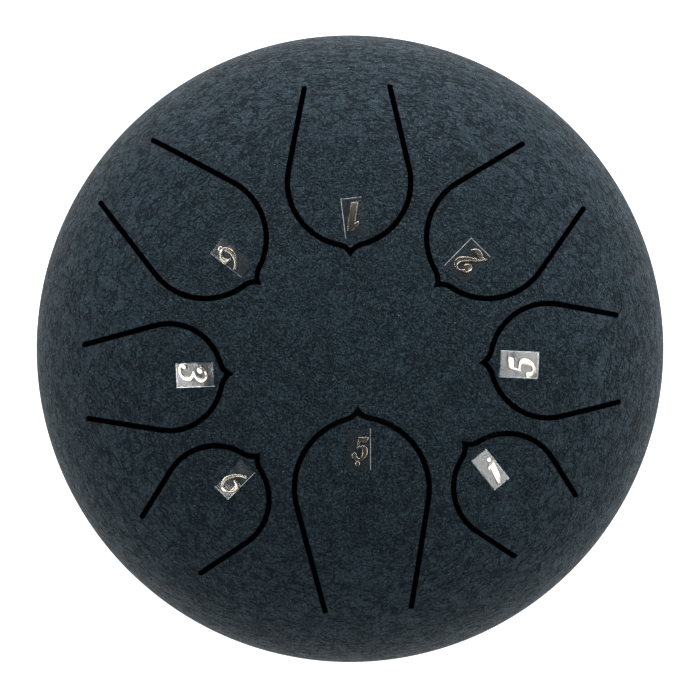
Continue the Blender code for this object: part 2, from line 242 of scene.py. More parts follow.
def joined(shapes: list[bmesh.types.BMesh]) -> bpy.types.Mesh:
    """Puts several separate closed shapes into one mesh.

    Args:
        shapes: the shapes, which are freed.

    Returns:
        The mesh.
    """
    whole = bmesh.new()
    part = bpy.data.meshes.new("part")
    for shape in shapes:
        shape.to_mesh(part)
        whole.from_mesh(part)
        shape.free()
    bpy.data.meshes.remove(part)
    return mesh_from(whole)


KEPT_MATERIALS = 3  # material places that a Boolean keeps apart


def combined(mesh: bpy.types.Mesh, cutter: bpy.types.Mesh, operation: str) -> bpy.types.Mesh:
    """Applies one exact Boolean.

    Args:
        mesh: the shape that is worked on, which is kept.
        cutter: the other shape, which is kept.
        operation: DIFFERENCE or INTERSECT.

    Returns:
        The new mesh, whose faces keep their material indices.
    """
    item, tool = new_object(mesh.copy(), "worked"), new_object(cutter.copy(), "tool")
    for used in (item, tool):
        while len(used.data.materials) < KEPT_MATERIALS:
            used.data.materials.append(None)
    modifier = item.modifiers.new("cut", "BOOLEAN")
    modifier.operation, modifier.object, modifier.solver = operation, tool, "EXACT"
    modifier.material_mode = "INDEX"
    made = bpy.data.meshes.new_from_object(item.evaluated_get(bpy.context.evaluated_depsgraph_get()))
    for used in (item, tool):
        data = used.data
        bpy.data.objects.remove(used)
        bpy.data.meshes.remove(data)
    return made


def present(item: bpy.types.Object, body: str, slot: Slot, *nodes: str) -> None:
    """Hangs a finished piece on its body in place of CAD nodes, and reports it.

    Args:
        item: the piece.
        body: the body it moves with.
        slot: the record's slot for its finish; it is not used.
        nodes: the CAD nodes it stands for.
    """
    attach(item, body)
    if nodes:
        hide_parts(*nodes)
    LOG.info("%s rides on %s with %d faces", item.name, body, len(item.data.polygons))


# ---------------------------------------------------------------------------
# Shapes of the drum

SHELL_RADIUS = 77.3 * MM
SHELL_POWER = 2.25  # exponent of the superellipse that both shells follow
SHEET = 1.5 * MM
BASE_HEIGHT = 6.5 * MM  # of the bowl's flat base, where the feet end


@dataclass(frozen=True)
class QuarterCurve:
    """A quarter of a superellipse, from its flat middle to its upright edge."""

    power: float
    start: float
    reach: float
    rise: float

    def at(self, turn: float) -> tuple[Vector, Vector]:
        """Finds a place on the curve.

        Args:
            turn: the angle from 0, at the middle, to a right angle, at the edge.

        Returns:
            The point and its unit normal.
        """
        across = math.sin(turn) ** (2 / self.power)
        up = math.cos(turn) ** (2 / self.power) if turn < math.pi / 2 - 1e-9 else 0.0
        normal = Vector((across ** (self.power - 1) / self.reach, up ** (self.power - 1) / self.rise))
        return Vector((self.start + across * self.reach, up * self.rise)), normal.normalized()

    def walked(self, steps: int) -> list[tuple[Vector, Vector]]:
        """Points and normals at even turns from the middle to the edge."""
        return [self.at(math.pi / 2 * step / steps) for step in range(steps + 1)]


@dataclass(frozen=True)
class Dome:
    """The upper shell's outer surface."""

    radius: float = SHELL_RADIUS
    sheet: float = SHEET
    power: float = SHELL_POWER
    edge_height: float = 43.5 * MM
    rise: float = 41.0 * MM

    def height(self, x: float, y: float) -> float:
        """The height of the outer surface over a place in the plan."""
        across = min(math.hypot(x, y) / self.radius, 1.0)
        return self.edge_height + self.rise * (1 - across**self.power) ** (1 / self.power)

    def normal(self, x: float, y: float) -> Vector:
        """Finds how the outer surface faces over a place in the plan.

        Args:
            x: the place's first coordinate.
            y: its second coordinate.

        Returns:
            The unit normal.
        """
        across = min(math.hypot(x, y) / self.radius, 1.0)
        up = (1 - across**self.power) ** (1 / self.power)
        steepness = max(across, 1e-6) ** (self.power - 2) / self.radius**2
        return Vector((x * steepness, y * steepness, up ** (self.power - 1) / self.rise)).normalized()

    def frame(self, x: float, y: float, heading: float, lift: float) -> Matrix:
        """Sets a frame on the dome.

        Args:
            x: the first coordinate of its place in the plan.
            y: the second coordinate.
            heading: the plan direction of its Y axis, in radians.
            lift: its height over the surface.

        Returns:
            The frame, with Z along the normal.
        """
        normal = self.normal(x, y)
        along = Vector((math.cos(heading), math.sin(heading), 0))
        along = (along - along.dot(normal) * normal).normalized()
        made = Matrix((along.cross(normal), along, normal)).transposed().to_4x4()
        made.translation = Vector((x, y, self.height(x, y))) + lift * normal
        return made

    def profile(self, outer_steps: int, inner_steps: int) -> list[Point2]:
        """Draws the sheet from its middle to its lower edge and back.

        Args:
            outer_steps: facets of the outside.
            inner_steps: facets of the inside.

        Returns:
            The closed profile.
        """
        curve = QuarterCurve(self.power, 0.0, self.radius, self.rise)
        outside = [(p.x, self.edge_height + p.y) for p, _ in curve.walked(outer_steps)]
        inside = [
            (max(p.x - self.sheet * n.x, 0.0), self.edge_height + p.y - self.sheet * n.y)
            for p, n in curve.walked(inner_steps)
        ]
        return outside + inside[::-1]


@dataclass(frozen=True)
class TongueSlot:
    """A U-shaped slot round a tongue: a flared straight, a round belly, and a small point at the tip.

    Angles of axis are in degrees from +X, and lengths in millimetres.
    """

    axis: float
    offset: float
    tip: float
    length: float
    half_width: float
    width: float = 1.32
    end_round: float = 0.62  # how much of each end is rounded
    end_power: float = 2.3  # of the superellipse that an end follows
    flare: float = math.radians(11.6)
    shoulder: float = math.radians(76.6)
    point_angle: float = math.radians(36.0)
    point_radius: float = 5.0
    straight_steps: int = 18
    belly_steps: int = 44
    point_steps: int = 10

    def side(self, outset: float, root: float) -> list[Point2]:
        """One side of the slot, in millimetres.

        Args:
            outset: the distance from the slot's middle line, away from the tongue.
            root: how far from the slot's end the side starts, along the tongue's axis.

        Returns:
            Points from the root to the point, along the axis from the slot's end and across it.
        """
        sin_flare, cos_flare = math.sin(self.flare), math.cos(self.flare)
        sin_shoulder, cos_shoulder = math.sin(self.shoulder), math.cos(self.shoulder)
        run = self.length - self.point_radius * (sin_shoulder - math.sin(self.point_angle))
        fall = -self.half_width - self.point_radius * (cos_shoulder - math.cos(self.point_angle))
        turn = cos_flare * (cos_shoulder - cos_flare) - sin_flare * (sin_flare + sin_shoulder)
        straight = (run * (cos_shoulder - cos_flare) - fall * (sin_flare + sin_shoulder)) / turn
        belly = (cos_flare * fall - sin_flare * run) / turn
        belly_x = straight * cos_flare + belly * sin_flare
        belly_y = self.half_width + straight * sin_flare - belly * cos_flare
        point_x = self.length + self.point_radius * math.sin(self.point_angle)
        point_y = self.point_radius * math.cos(self.point_angle)
        slope = sin_flare / cos_flare
        start = Vector((root, self.half_width + outset / cos_flare + root * slope))
        end = Vector((belly_x - (belly + outset) * sin_flare, belly_y + (belly + outset) * cos_flare))
        points = [tuple(start.lerp(end, step / self.straight_steps)) for step in range(self.straight_steps)]
        for step in range(self.belly_steps + 1):
            heading = self.flare - (self.flare + self.shoulder) * step / self.belly_steps
            points.append((belly_x - (belly + outset) * math.sin(heading),
                           belly_y + (belly + outset) * math.cos(heading)))
        radius = self.point_radius - outset
        closing = math.acos(point_y / radius)
        for step in range(1, self.point_steps + 1):
            heading = self.shoulder + (closing - self.shoulder) * step / self.point_steps
            points.append((point_x - radius * math.sin(heading), point_y - radius * math.cos(heading)))
        points[-1] = (points[-1][0], 0.0)
        return points

    def line(self, outset: float, root: float) -> list[Point2]:
        """Both sides in a row, from one root past the point to the other."""
        side = self.side(outset, root)
        return side + [(along, -across) for along, across in side[-2::-1]]

    def band(self, widening: float) -> list[Point2]:
        """The closed outline of the slot itself, with its ends rounded.

        Args:
            widening: how far every edge moves outwards.

        Returns:
            Points in millimetres, in the tongue's own plan.
        """
        outer = self.line(self.width / 2, self.end_round)
        inner = self.line(-self.width / 2, self.end_round)[::-1]
        outline = outer + self.end_cap(outer[-1], inner[0]) + inner + self.end_cap(inner[-1], outer[0])
        points = [Vector(point) for point in outline]
        moved = []
        for before, point, after in zip(points[-1:] + points, points, points[1:] + points):
            along = ((point - before).normalized() + (after - point).normalized()).normalized()
            moved.append(tuple(point + Vector((-along.y, along.x)) * widening))
        return moved

    def end_cap(self, start: Point2, end: Point2) -> list[Point2]:
        """Rounds an end of the slot.

        Args:
            start: the last point of one edge.
            end: the first point of the other.

        Returns:
            The points between them.
        """
        corners = []
        for share in (0.03, 0.12, 0.28, 0.5, 0.72, 0.88, 0.97):
            across = start[1] + (end[1] - start[1]) * share
            bulge = (1 - abs(2 * share - 1) ** self.end_power) ** (1 / self.end_power)
            corners.append((start[0] - self.end_round * bulge, across))
        return corners

    def to_plan(self, points: list[Point2]) -> list[Point2]:
        """Moves points from the tongue's own plan to the drum's.

        Args:
            points: points in millimetres.

        Returns:
            The points in metres.
        """
        angle = math.radians(self.axis)
        out = Vector((math.cos(angle), math.sin(angle)))
        left = Vector((-out.y, out.x))
        far = self.tip + self.length
        return [tuple((out * (far - along) + left * (across + self.offset)) * MM) for along, across in points]


@dataclass(frozen=True)
class Note:
    """One tongue's slot and sticker. Lengths are in millimetres, and angles in degrees from +X."""

    name: str
    slot: TongueSlot
    film: Point2
    film_size: Point2
    upright: float
    digit: str
    digit_height: float
    digit_shift: Point2
    edges: FilmEdge
    dot: Point2 | None = None


NOTES: tuple[Note, ...] = (
    Note("one", TongueSlot(91.2, -0.6, 22.9, 40.7, 10.2), (0.8, 31.3), (5.1, 9.6), -83.2,
         "1", 7.0, (0.0, -0.3), FilmEdge.CUT),
    Note("two", TongueSlot(43.0, -3.0, 25.7, 39.1, 10.6), (28.0, 20.9), (6.6, 9.5), -134.7,
         "2", 7.0, (-0.4, -0.3), FilmEdge.CUT),
    Note("three", TongueSlot(-176.9, 4.5, 29.2, 35.3, 8.8), (-36.9, -6.3), (5.9, 9.4), 2.6,
         "3", 6.8, (-0.3, -0.4), FilmEdge.CUT),
    Note("five", TongueSlot(1.6, -4.2, 31.8, 33.3, 10.4), (40.4, -3.8), (6.5, 9.6), 177.0,
         "5", 6.8, (-0.4, -0.4), FilmEdge.BOTH_TORN),
    Note("six", TongueSlot(-134.0, 1.9, 33.8, 30.8, 9.7), (-27.5, -31.3), (4.6, 9.6), 45.4,
         "6", 6.6, (0.2, -0.4), FilmEdge.CUT),
    Note("low_five", TongueSlot(-86.9, 1.0, 14.9, 48.6, 10.3), (2.2, -24.0), (5.6, 10.0), 90.5,
         "5", 5.5, (0.4, 0.2), FilmEdge.FAINT, (-0.42, -3.38)),
    Note("low_six", TongueSlot(139.9, 2.0, 27.1, 42.5, 9.8), (-28.2, 21.6), (4.6, 9.8), -37.9,
         "6", 5.7, (0.42, -0.28), FilmEdge.PLAIN, (-0.05, -3.6)),
    Note("high_one", TongueSlot(-45.4, 3.5, 35.5, 28.5, 10.3), (33.5, -28.9), (4.7, 9.6), 129.9,
         "1", 6.0, (0.44, -1.25), FilmEdge.PLAIN, (1.2, 2.2)),
)

# Numerals as closed outlines on a grid 64 wide and 100 high. True marks a corner, False a smooth point.
GLYPH_WIDTH, GLYPH_HEIGHT = 64.0, 100.0
GLYPHS: dict[str, list[tuple[float, float, bool]]] = {
    "1": [
        (22, 4, True), (46, 4, True), (45, 99, True), (28, 98, False), (18, 88, False), (9, 79, False),
        (12, 71, True), (24, 78, True),
    ],
    "2": [
        (5, 2, True), (19, 8, False), (34, 1, False), (50, -1, False), (64, 17, True), (49, 13, False),
        (34, 16, False), (15, 19, True), (38, 37, False), (57, 56, False), (62, 76, False),
        (53, 94, False), (33, 101, False), (13, 94, False), (2, 77, False), (6, 63, False),
        (17, 58, False), (28, 66, False), (26, 78, False), (15, 83, True), (21, 92, False),
        (33, 96, False), (44, 89, False), (46, 74, False), (37, 56, False), (19, 32, False),
    ],
    "3": [
        (3, 77, False), (9, 93, False), (30, 101, False), (50, 93, False), (57, 76, False),
        (50, 61, False), (41, 53, True), (57, 45, False), (63, 27, False), (54, 7, False),
        (30, -2, False), (8, 5, False), (1, 19, False), (9, 30, False), (21, 25, False),
        (20, 10, True), (30, 4, False), (42, 11, False), (46, 28, False), (38, 43, False),
        (21, 50, True), (21, 55, True), (36, 61, False), (41, 76, False), (38, 90, False),
        (30, 96, False), (18, 92, True), (26, 79, False), (21, 68, False), (11, 66, False),
    ],
    "5": [
        (12, 100, True), (53, 100, True), (49, 79, True), (20, 79, True), (18, 59, True), (31, 63, False),
        (50, 58, False), (63, 40, False), (62, 17, False), (49, 1, False), (33, -3, False), (15, 4, False),
        (1, 21, False), (5, 33, False), (16, 31, False), (21, 19, False), (33, 8, False), (43, 14, False),
        (44, 34, False), (36, 48, False), (25, 54, False), (14, 49, True),
    ],
    "6": [
        (41, 99, True), (14, 77, False), (2, 56, False), (1, 37, False), (12, 14, False), (34, -4, False),
        (55, 7, False), (66, 29, False), (63, 49, False), (51, 58, False), (38, 58, False), (28, 53, False),
        (41, 46, False), (51, 30, False), (48, 11, False), (36, 6, False), (24, 21, False), (17, 44, False),
        (19, 65, False), (28, 81, False), (45, 92, True),
    ],
}


# ---------------------------------------------------------------------------
# Finishes


class NodeSheet:
    """A small helper that adds linked nodes to a node tree."""

    def __init__(self, tree: bpy.types.NodeTree) -> None:
        """Keeps the tree that the nodes go into."""
        self.tree = tree

    def add(self, kind: str, settings: dict[str, object] | None = None, **inputs: object) -> bpy.types.Node:
        """Adds a node.

        Args:
            kind: the node's type.
            settings: the node's own properties.
            inputs: values or sockets by input name, with _ for a space.

        Returns:
            The node.
        """
        node = self.tree.nodes.new(kind)
        for key, value in (settings or {}).items():
            setattr(node, key, value)
        for key, value in inputs.items():
            self.feed(self.socket(node, key), value)
        return node

    def socket(self, node: bpy.types.Node, key: str) -> bpy.types.NodeSocket:
        """Finds an enabled input of a node.

        Args:
            node: the node.
            key: the input's name with _ for a space, or i and its number.

        Returns:
            The input.
        """
        if key[0] == "i" and key[1:].isdigit():
            return node.inputs[int(key[1:])]
        name = key.replace("_", " ")
        return next(s for s in node.inputs if s.name == name and s.enabled)

    def feed(self, socket: bpy.types.NodeSocket, value: object) -> None:
        """Links a socket or sets a value.

        Args:
            socket: the input to feed.
            value: another node's output, a number, or a colour of three numbers.
        """
        if isinstance(value, bpy.types.NodeSocket):
            self.tree.links.new(value, socket)
        elif isinstance(value, tuple) and len(value) == 3 and len(socket.default_value) == 4:
            socket.default_value = (*value, 1.0)
        else:
            socket.default_value = value

    def math(self, operation: str, a: object, b: object = 0.0, clamp: bool = False) -> bpy.types.NodeSocket:
        """One arithmetic step on two values."""
        return self.add("ShaderNodeMath", {"operation": operation, "use_clamp": clamp}, i0=a, i1=b).outputs[0]

    def ramp(self, value: object, low: float, high: float, to_low: float = 0.0,
             to_high: float = 1.0) -> bpy.types.NodeSocket:
        """Makes a smooth step of a value from one range to another.

        Args:
            value: the value.
            low: where the step starts.
            high: where it ends.
            to_low: the result at its start.
            to_high: the result at its end.

        Returns:
            The stepped value.
        """
        node = self.add("ShaderNodeMapRange", {"interpolation_type": "SMOOTHSTEP", "clamp": True},
                        Value=value, From_Min=low, From_Max=high, To_Min=to_low, To_Max=to_high)
        return node.outputs["Result"]

    def mix(self, share: object, a: object, b: object) -> bpy.types.NodeSocket:
        """A mix of two colours."""
        node = self.add("ShaderNodeMix", {"data_type": "RGBA", "clamp_factor": True}, i0=share, i6=a, i7=b)
        return node.outputs[2]

    def noise(self, vector: object, scale: object, detail: float, roughness: float = 0.5,
              distortion: float = 0.0) -> bpy.types.NodeSocket:
        """Makes soft three-dimensional noise.

        Args:
            vector: the coordinates that it reads.
            scale: how many waves a metre has.
            detail: how many finer layers it has.
            roughness: how strong they are.
            distortion: how much it is pushed about.

        Returns:
            The noise, from 0 to 1.
        """
        return self.add("ShaderNodeTexNoise", {"noise_dimensions": "3D"}, Vector=vector, Scale=scale,
                        Detail=detail, Roughness=roughness, Distortion=distortion).outputs["Fac"]

    def swell(self, value: object, gain: object, base: float) -> bpy.types.NodeSocket:
        """A value times a gain, added to a base."""
        return self.math("ADD", base, self.math("MULTIPLY", value, gain))


class CoatSheet(NodeSheet):
    """A new material with its shader, and the object's own coordinates for its patterns."""

    def __init__(self, name: str) -> None:
        """Starts a material.

        Args:
            name: the material's name.
        """
        self.material = bpy.data.materials.new(name)
        self.material.use_nodes = True
        super().__init__(self.material.node_tree)
        self.shader = self.tree.nodes["Principled BSDF"]
        self.place = self.add("ShaderNodeTexCoord").outputs["Object"]

    def put(self, **inputs: object) -> None:
        """Sets or links the shader's inputs by name, with _ for a space."""
        for key, value in inputs.items():
            self.feed(self.socket(self.shader, key), value)

    def relief(self, height: bpy.types.NodeSocket, strength: float, depth: float) -> bpy.types.Material:
        """Gives the material a bumpy surface.

        Args:
            height: the height of the bumps, from 0 to 1.
            strength: how strongly they show.
            depth: how deep they are, in metres.

        Returns:
            The finished material.
        """
        bump = self.add("ShaderNodeBump", Strength=strength, Distance=depth, Height=height)
        self.put(Normal=bump.outputs["Normal"])
        return self.material


@dataclass(frozen=True)
class Creases:
    """One size of crease: noise whose middle value draws a winding wall."""

    scale: float  # times the coat's own number of folds
    detail: float
    roughness: float
    distortion: float
    wall: float
    flat: float  # strength on the flat top
    sloped: float  # strength on the steep sides


LONG_CREASES = Creases(0.36, 3.0, 0.58, 0.4, 0.045, 0.55, 1.15)
WIDE_CREASES = Creases(1.0, 2.0, 0.55, 0.4, 0.070, 0.60, 0.40)
NARROW_CREASES = Creases(2.1, 2.0, 0.55, 0.3, 0.10, 0.45, 0.15)
FLAT_TO_STEEP = (36 * MM, 66 * MM)  # distances from the drum's axis
GRAIN_SCALE, PATCH_SCALE, SPECK_SCALE = 3.4, 0.35, 3.0  # times the coat's own number of folds
GRAIN_CONTRAST = (1.2, 0.42)  # on the flat top and on the steep sides
SPECKS = (0.74, 0.80)  # noise at which a bright speck starts and is full


def wrinkle_group() -> bpy.types.NodeTree:
    """The wrinkled powder coat: winding creases about a millimetre apart, with fine grain between them.

    Returns:
        A group with the inputs Vector, Folds and Upright and the outputs Grain, Patch, Crease, Speck and
        Height. Upright says how much shorter the long creases are upwards than round the drum.
    """
    tree = bpy.data.node_groups.new("wrinkled_coat", "ShaderNodeTree")
    for label, kind in (("Vector", "Vector"), ("Folds", "Float"), ("Upright", "Float")):
        tree.interface.new_socket(name=label, in_out="INPUT", socket_type=f"NodeSocket{kind}")
    sheet, given = NodeSheet(tree), tree.nodes.new("NodeGroupInput").outputs
    place, folds = given["Vector"], given["Folds"]

    def layer(vector: object, scale: float, *character: float) -> bpy.types.NodeSocket:
        """Noise at a share of the folds."""
        return sheet.noise(vector, sheet.math("MULTIPLY", folds, scale), *character)

    stretch = sheet.add("ShaderNodeCombineXYZ", X=1.0, Y=1.0, Z=given["Upright"]).outputs["Vector"]
    drawn = sheet.add("ShaderNodeVectorMath", {"operation": "MULTIPLY"}, i0=place, i1=stretch).outputs[0]
    split = sheet.add("ShaderNodeSeparateXYZ", Vector=place).outputs
    squares = [sheet.math("MULTIPLY", split[axis], split[axis]) for axis in ("X", "Y")]
    steep = sheet.ramp(sheet.math("SQRT", sheet.math("ADD", *squares)), *FLAT_TO_STEEP)
    crease, wide = 0.0, None
    for kind, vector in ((LONG_CREASES, drawn), (WIDE_CREASES, place), (NARROW_CREASES, place)):
        source = layer(vector, kind.scale, kind.detail, kind.roughness, kind.distortion)
        wide = source if kind is WIDE_CREASES else wide
        from_middle = sheet.math("ABSOLUTE", sheet.math("SUBTRACT", source, 0.5))
        strength = sheet.ramp(steep, 0.0, 1.0, kind.flat, kind.sloped)
        wall = sheet.math("MULTIPLY", sheet.ramp(from_middle, 0.0, kind.wall, 1.0, 0.0), strength)
        crease = sheet.math("ADD", crease, wall, clamp=True)
    grain = layer(place, GRAIN_SCALE, 2.0, 0.6)
    height = sheet.math("SUBTRACT", sheet.math("MULTIPLY", grain, 0.5), crease)
    contrast = sheet.ramp(steep, 0.0, 1.0, *GRAIN_CONTRAST)
    made = {
        "Grain": sheet.swell(sheet.math("SUBTRACT", grain, 0.5), contrast, 0.5),
        "Patch": layer(place, PATCH_SCALE, 2.0),
        "Crease": crease,
        "Speck": sheet.ramp(layer(place, SPECK_SCALE, 1.0), *SPECKS),
        "Height": sheet.math("ADD", height, sheet.math("MULTIPLY", wide, 0.8)),
    }
    for label in made:
        tree.interface.new_socket(name=label, in_out="OUTPUT", socket_type="NodeSocketFloat")
    out = tree.nodes.new("NodeGroupOutput")
    for label, value in made.items():
        sheet.feed(out.inputs[label], value)
    return tree


@dataclass(frozen=True)
class WrinkleCoat:
    """Blue-black powder coat that has wrinkled as it cured, with painted shade darkening its creases."""

    name: str
    base: Colour = (0.0045, 0.0140, 0.0220)
    # painted shade: the colour that the creases are darkened towards
    crease_shade: Colour = (0.0015, 0.0060, 0.0100)
    light: Colour = (0.0345, 0.0575, 0.0750)
    bright: Colour = (0.1500, 0.1750, 0.1900)
    roughness: float = 0.55
    crease_roughness: float = 0.2  # added in the creases
    specular: float = 0.16
    bump: float = 1.0
    depth: float = 0.38 * MM
    folds: float = 620.0
    upright: float = 3.2
    tones: Point2 = (0.44, 0.57)
    patch_share: float = 0.14  # of the tone, where the grain is the rest
    # how far the creases are darkened: painted shade where the folds shade themselves
    crease_shade_share: float = 0.88

    def build(self, coat: bpy.types.NodeTree) -> bpy.types.Material:
        """Makes the finish.

        Args:
            coat: the shared wrinkle group.

        Returns:
            The material.
        """
        sheet = CoatSheet(self.name)
        wrinkle = sheet.add("ShaderNodeGroup", {"node_tree": coat}, Vector=sheet.place, Folds=self.folds,
                            Upright=self.upright).outputs
        tone = sheet.math("ADD", sheet.math("MULTIPLY", wrinkle["Grain"], 1.0 - self.patch_share),
                          sheet.math("MULTIPLY", wrinkle["Patch"], self.patch_share))
        colour = sheet.mix(sheet.ramp(tone, *self.tones), self.base, self.light)
        # painted shade in the creases, on top of the bump that shades them
        colour = sheet.mix(sheet.math("MULTIPLY", wrinkle["Crease"], self.crease_shade_share), colour, self.crease_shade)
        sheet.put(Base_Color=sheet.mix(wrinkle["Speck"], colour, self.bright),
                  Roughness=sheet.swell(wrinkle["Crease"], self.crease_roughness, self.roughness),
                  Specular_IOR_Level=self.specular)
        return sheet.relief(wrinkle["Height"], self.bump, self.depth)


@dataclass(frozen=True)
class SlotEdgeWearAndHighlight:
    """The coat where it runs thin and smooth over a slot's cut edge. Its pale colour is partly the worn coat
    over bare steel and partly a painted highlight along the edge.
    """

    name: str = "slot_edge_wear_and_highlight"
    # partly worn coat and partly a painted highlight along the slot's edge
    colour: Colour = (0.110, 0.104, 0.092)
    dulled: float = 0.55  # share of the colour that is left where the edge is dull
    roughness: float = 0.38
    wear_scale: float = 700.0
    worn: Point2 = (0.35, 0.65)  # noise at which the wear starts and is full

    def build(self) -> bpy.types.Material:
        """Makes the finish.

        Returns:
            The material.
        """
        sheet = CoatSheet(self.name)
        wear = sheet.ramp(sheet.noise(sheet.place, self.wear_scale, 3.0), *self.worn)
        dull = tuple(self.dulled * c for c in self.colour)
        sheet.put(Base_Color=sheet.mix(wear, self.colour, dull), Roughness=self.roughness)
        return sheet.material


@dataclass(frozen=True)
class Rubber:
    """Moulded black rubber, a little dusty."""

    name: str = "black_rubber"
    colour: Colour = (0.012, 0.012, 0.013)
    dust: Colour = (0.035, 0.034, 0.032)
    roughness: float = 0.62
    dust_roughness: float = 0.25  # added where it is dusty
    dust_scale: float = 260.0
    dusty: Point2 = (0.42, 0.75)  # noise at which the dust starts and is full
    grain_scale: float = 4200.0
    bump: float = 0.35
    depth: float = 0.04 * MM

    def build(self) -> bpy.types.Material:
        """Makes the finish.

        Returns:
            The material.
        """
        sheet = CoatSheet(self.name)
        cloud = sheet.ramp(sheet.noise(sheet.place, self.dust_scale, 4.0), *self.dusty)
        sheet.put(Base_Color=sheet.mix(cloud, self.colour, self.dust),
                  Roughness=sheet.swell(cloud, self.dust_roughness, self.roughness))
        return sheet.relief(sheet.noise(sheet.place, self.grain_scale, 2.0), self.bump, self.depth)


@dataclass(frozen=True)
class ZincSteel:
    """Zinc-plated steel with a faint yellow-blue cast and fine scratches."""

    name: str = "zinc_plated_steel"
    colour: Colour = (0.60, 0.60, 0.58)
    cast: Colour = (0.50, 0.52, 0.57)
    roughness: Point2 = (0.24, 0.46)
    cast_scale: float = 420.0
    scuff_scale: float = 2600.0
    scuffed: Point2 = (0.30, 0.75)  # noise at which the scuffs start and are full
    bump: float = 0.25
    depth: float = 0.02 * MM

    def build(self) -> bpy.types.Material:
        """Makes the finish.

        Returns:
            The material.
        """
        sheet = CoatSheet(self.name)
        cloud = sheet.noise(sheet.place, self.cast_scale, 3.0)
        scuffs = sheet.noise(sheet.place, self.scuff_scale, 4.0, 0.7, 0.6)
        sheet.put(Base_Color=sheet.mix(cloud, self.colour, self.cast), Metallic=1.0,
                  Roughness=sheet.ramp(scuffs, *self.scuffed, *self.roughness))
        return sheet.relief(scuffs, self.bump, self.depth)


@dataclass(frozen=True)
class ClearFilm:
    """Thin clear sticker film: a soft gloss over the coat below it, and cut edges painted pale, partly as
    their frosted cut and partly as a painted highlight.
    """

    name: str = "clear_film"
    body: Colour = (0.050, 0.062, 0.072)
    # the pale colour of the cut edges: partly their frosted cut, partly a painted highlight
    rim: Colour = (0.78, 0.82, 0.84)
    body_alpha: float = 0.18
    rim_highlight_alpha: float = 0.95
    roughness: float = 0.19
    specular: float = 1.0
    refraction: float = 2.4
    fleck_scale: float = 1700.0
    flecked: Point2 = (0.30, 0.62)  # noise between which an edge goes from dull to bright
    dull_fleck: float = 0.45  # share of the painted highlight that is left there
    ripple_scale: float = 320.0
    bump: float = 0.6
    depth: float = 0.18 * MM

    def build(self) -> bpy.types.Material:
        """Makes the finish, where each face carries as much painted highlight as its rim attribute says.

        Returns:
            The material.
        """
        sheet = CoatSheet(self.name)
        rim = sheet.add("ShaderNodeAttribute", {"attribute_name": "rim"}).outputs["Fac"]
        speckle = sheet.noise(sheet.place, self.fleck_scale, 2.0)
        flecks = sheet.ramp(speckle, *self.flecked, self.dull_fleck, 1.0)
        # the painted highlight along the cut edges, broken up by flecks
        painted_glint = sheet.math("MULTIPLY", rim, flecks)
        on_rim = sheet.math("MULTIPLY", painted_glint, self.rim_highlight_alpha)
        on_body = sheet.math("MULTIPLY", sheet.math("LESS_THAN", rim, 0.001), self.body_alpha)
        sheet.put(Base_Color=sheet.mix(sheet.ramp(painted_glint, 0.0, 0.3), self.body, self.rim),
                  Alpha=sheet.math("ADD", on_rim, on_body, clamp=True), Roughness=self.roughness,
                  Specular_IOR_Level=self.specular, IOR=self.refraction)
        return sheet.relief(sheet.noise(sheet.place, self.ripple_scale, 1.0), self.bump, self.depth)


@dataclass(frozen=True)
class BrightNickel:
    """Mirror-bright electroformed metal with a warm cast."""

    name: str = "bright_nickel"
    colour: Colour = (0.86, 0.78, 0.66)
    paler: float = 1.08  # times the colour, in the pale clouds
    roughness: float = 0.20
    cloud_scale: float = 900.0

    def build(self) -> bpy.types.Material:
        """Makes the finish.

        Returns:
            The material.
        """
        sheet = CoatSheet(self.name)
        cloud = sheet.noise(sheet.place, self.cloud_scale, 2.0)
        pale = tuple(self.paler * c for c in self.colour)
        sheet.put(Base_Color=sheet.mix(cloud, self.colour, pale), Metallic=1.0, Roughness=self.roughness)
        return sheet.material


@dataclass
class Finishes:
    """Every material of the drum, made once."""

    shell: bpy.types.Material = field(init=False)
    edge: bpy.types.Material = field(init=False)
    weld: bpy.types.Material = field(init=False)
    rubber: bpy.types.Material = field(init=False)
    steel: bpy.types.Material = field(init=False)
    film: bpy.types.Material = field(init=False)
    nickel: bpy.types.Material = field(init=False)

    def __post_init__(self) -> None:
        """Builds the shared group and the materials."""
        coat = wrinkle_group()
        self.shell = WrinkleCoat("wrinkled_shell_coat").build(coat)
        self.edge = SlotEdgeWearAndHighlight().build()
        self.weld = WrinkleCoat(
            "wrinkled_weld_coat", light=(0.013, 0.025, 0.034), bright=(0.05, 0.065, 0.075), bump=0.6,
            folds=900.0, upright=1.0, crease_shade_share=0.5,
        ).build(coat)
        self.rubber = Rubber().build()
        self.steel = ZincSteel().build()
        self.film = ClearFilm().build()
        self.nickel = BrightNickel().build()


# ---------------------------------------------------------------------------
# Sub-assemblies

FOOT_CIRCLE = 42.0 * MM
FOOT_NUMBERS = (1, 2, 3)


def foot_place(number: int, height: float = 0.0) -> Vector:
    """A point on the axis of foot 1, 2 or 3."""
    angle = math.radians(90 + 120 * (number - 1))
    return Vector((math.cos(angle) * FOOT_CIRCLE, math.sin(angle) * FOOT_CIRCLE, height))


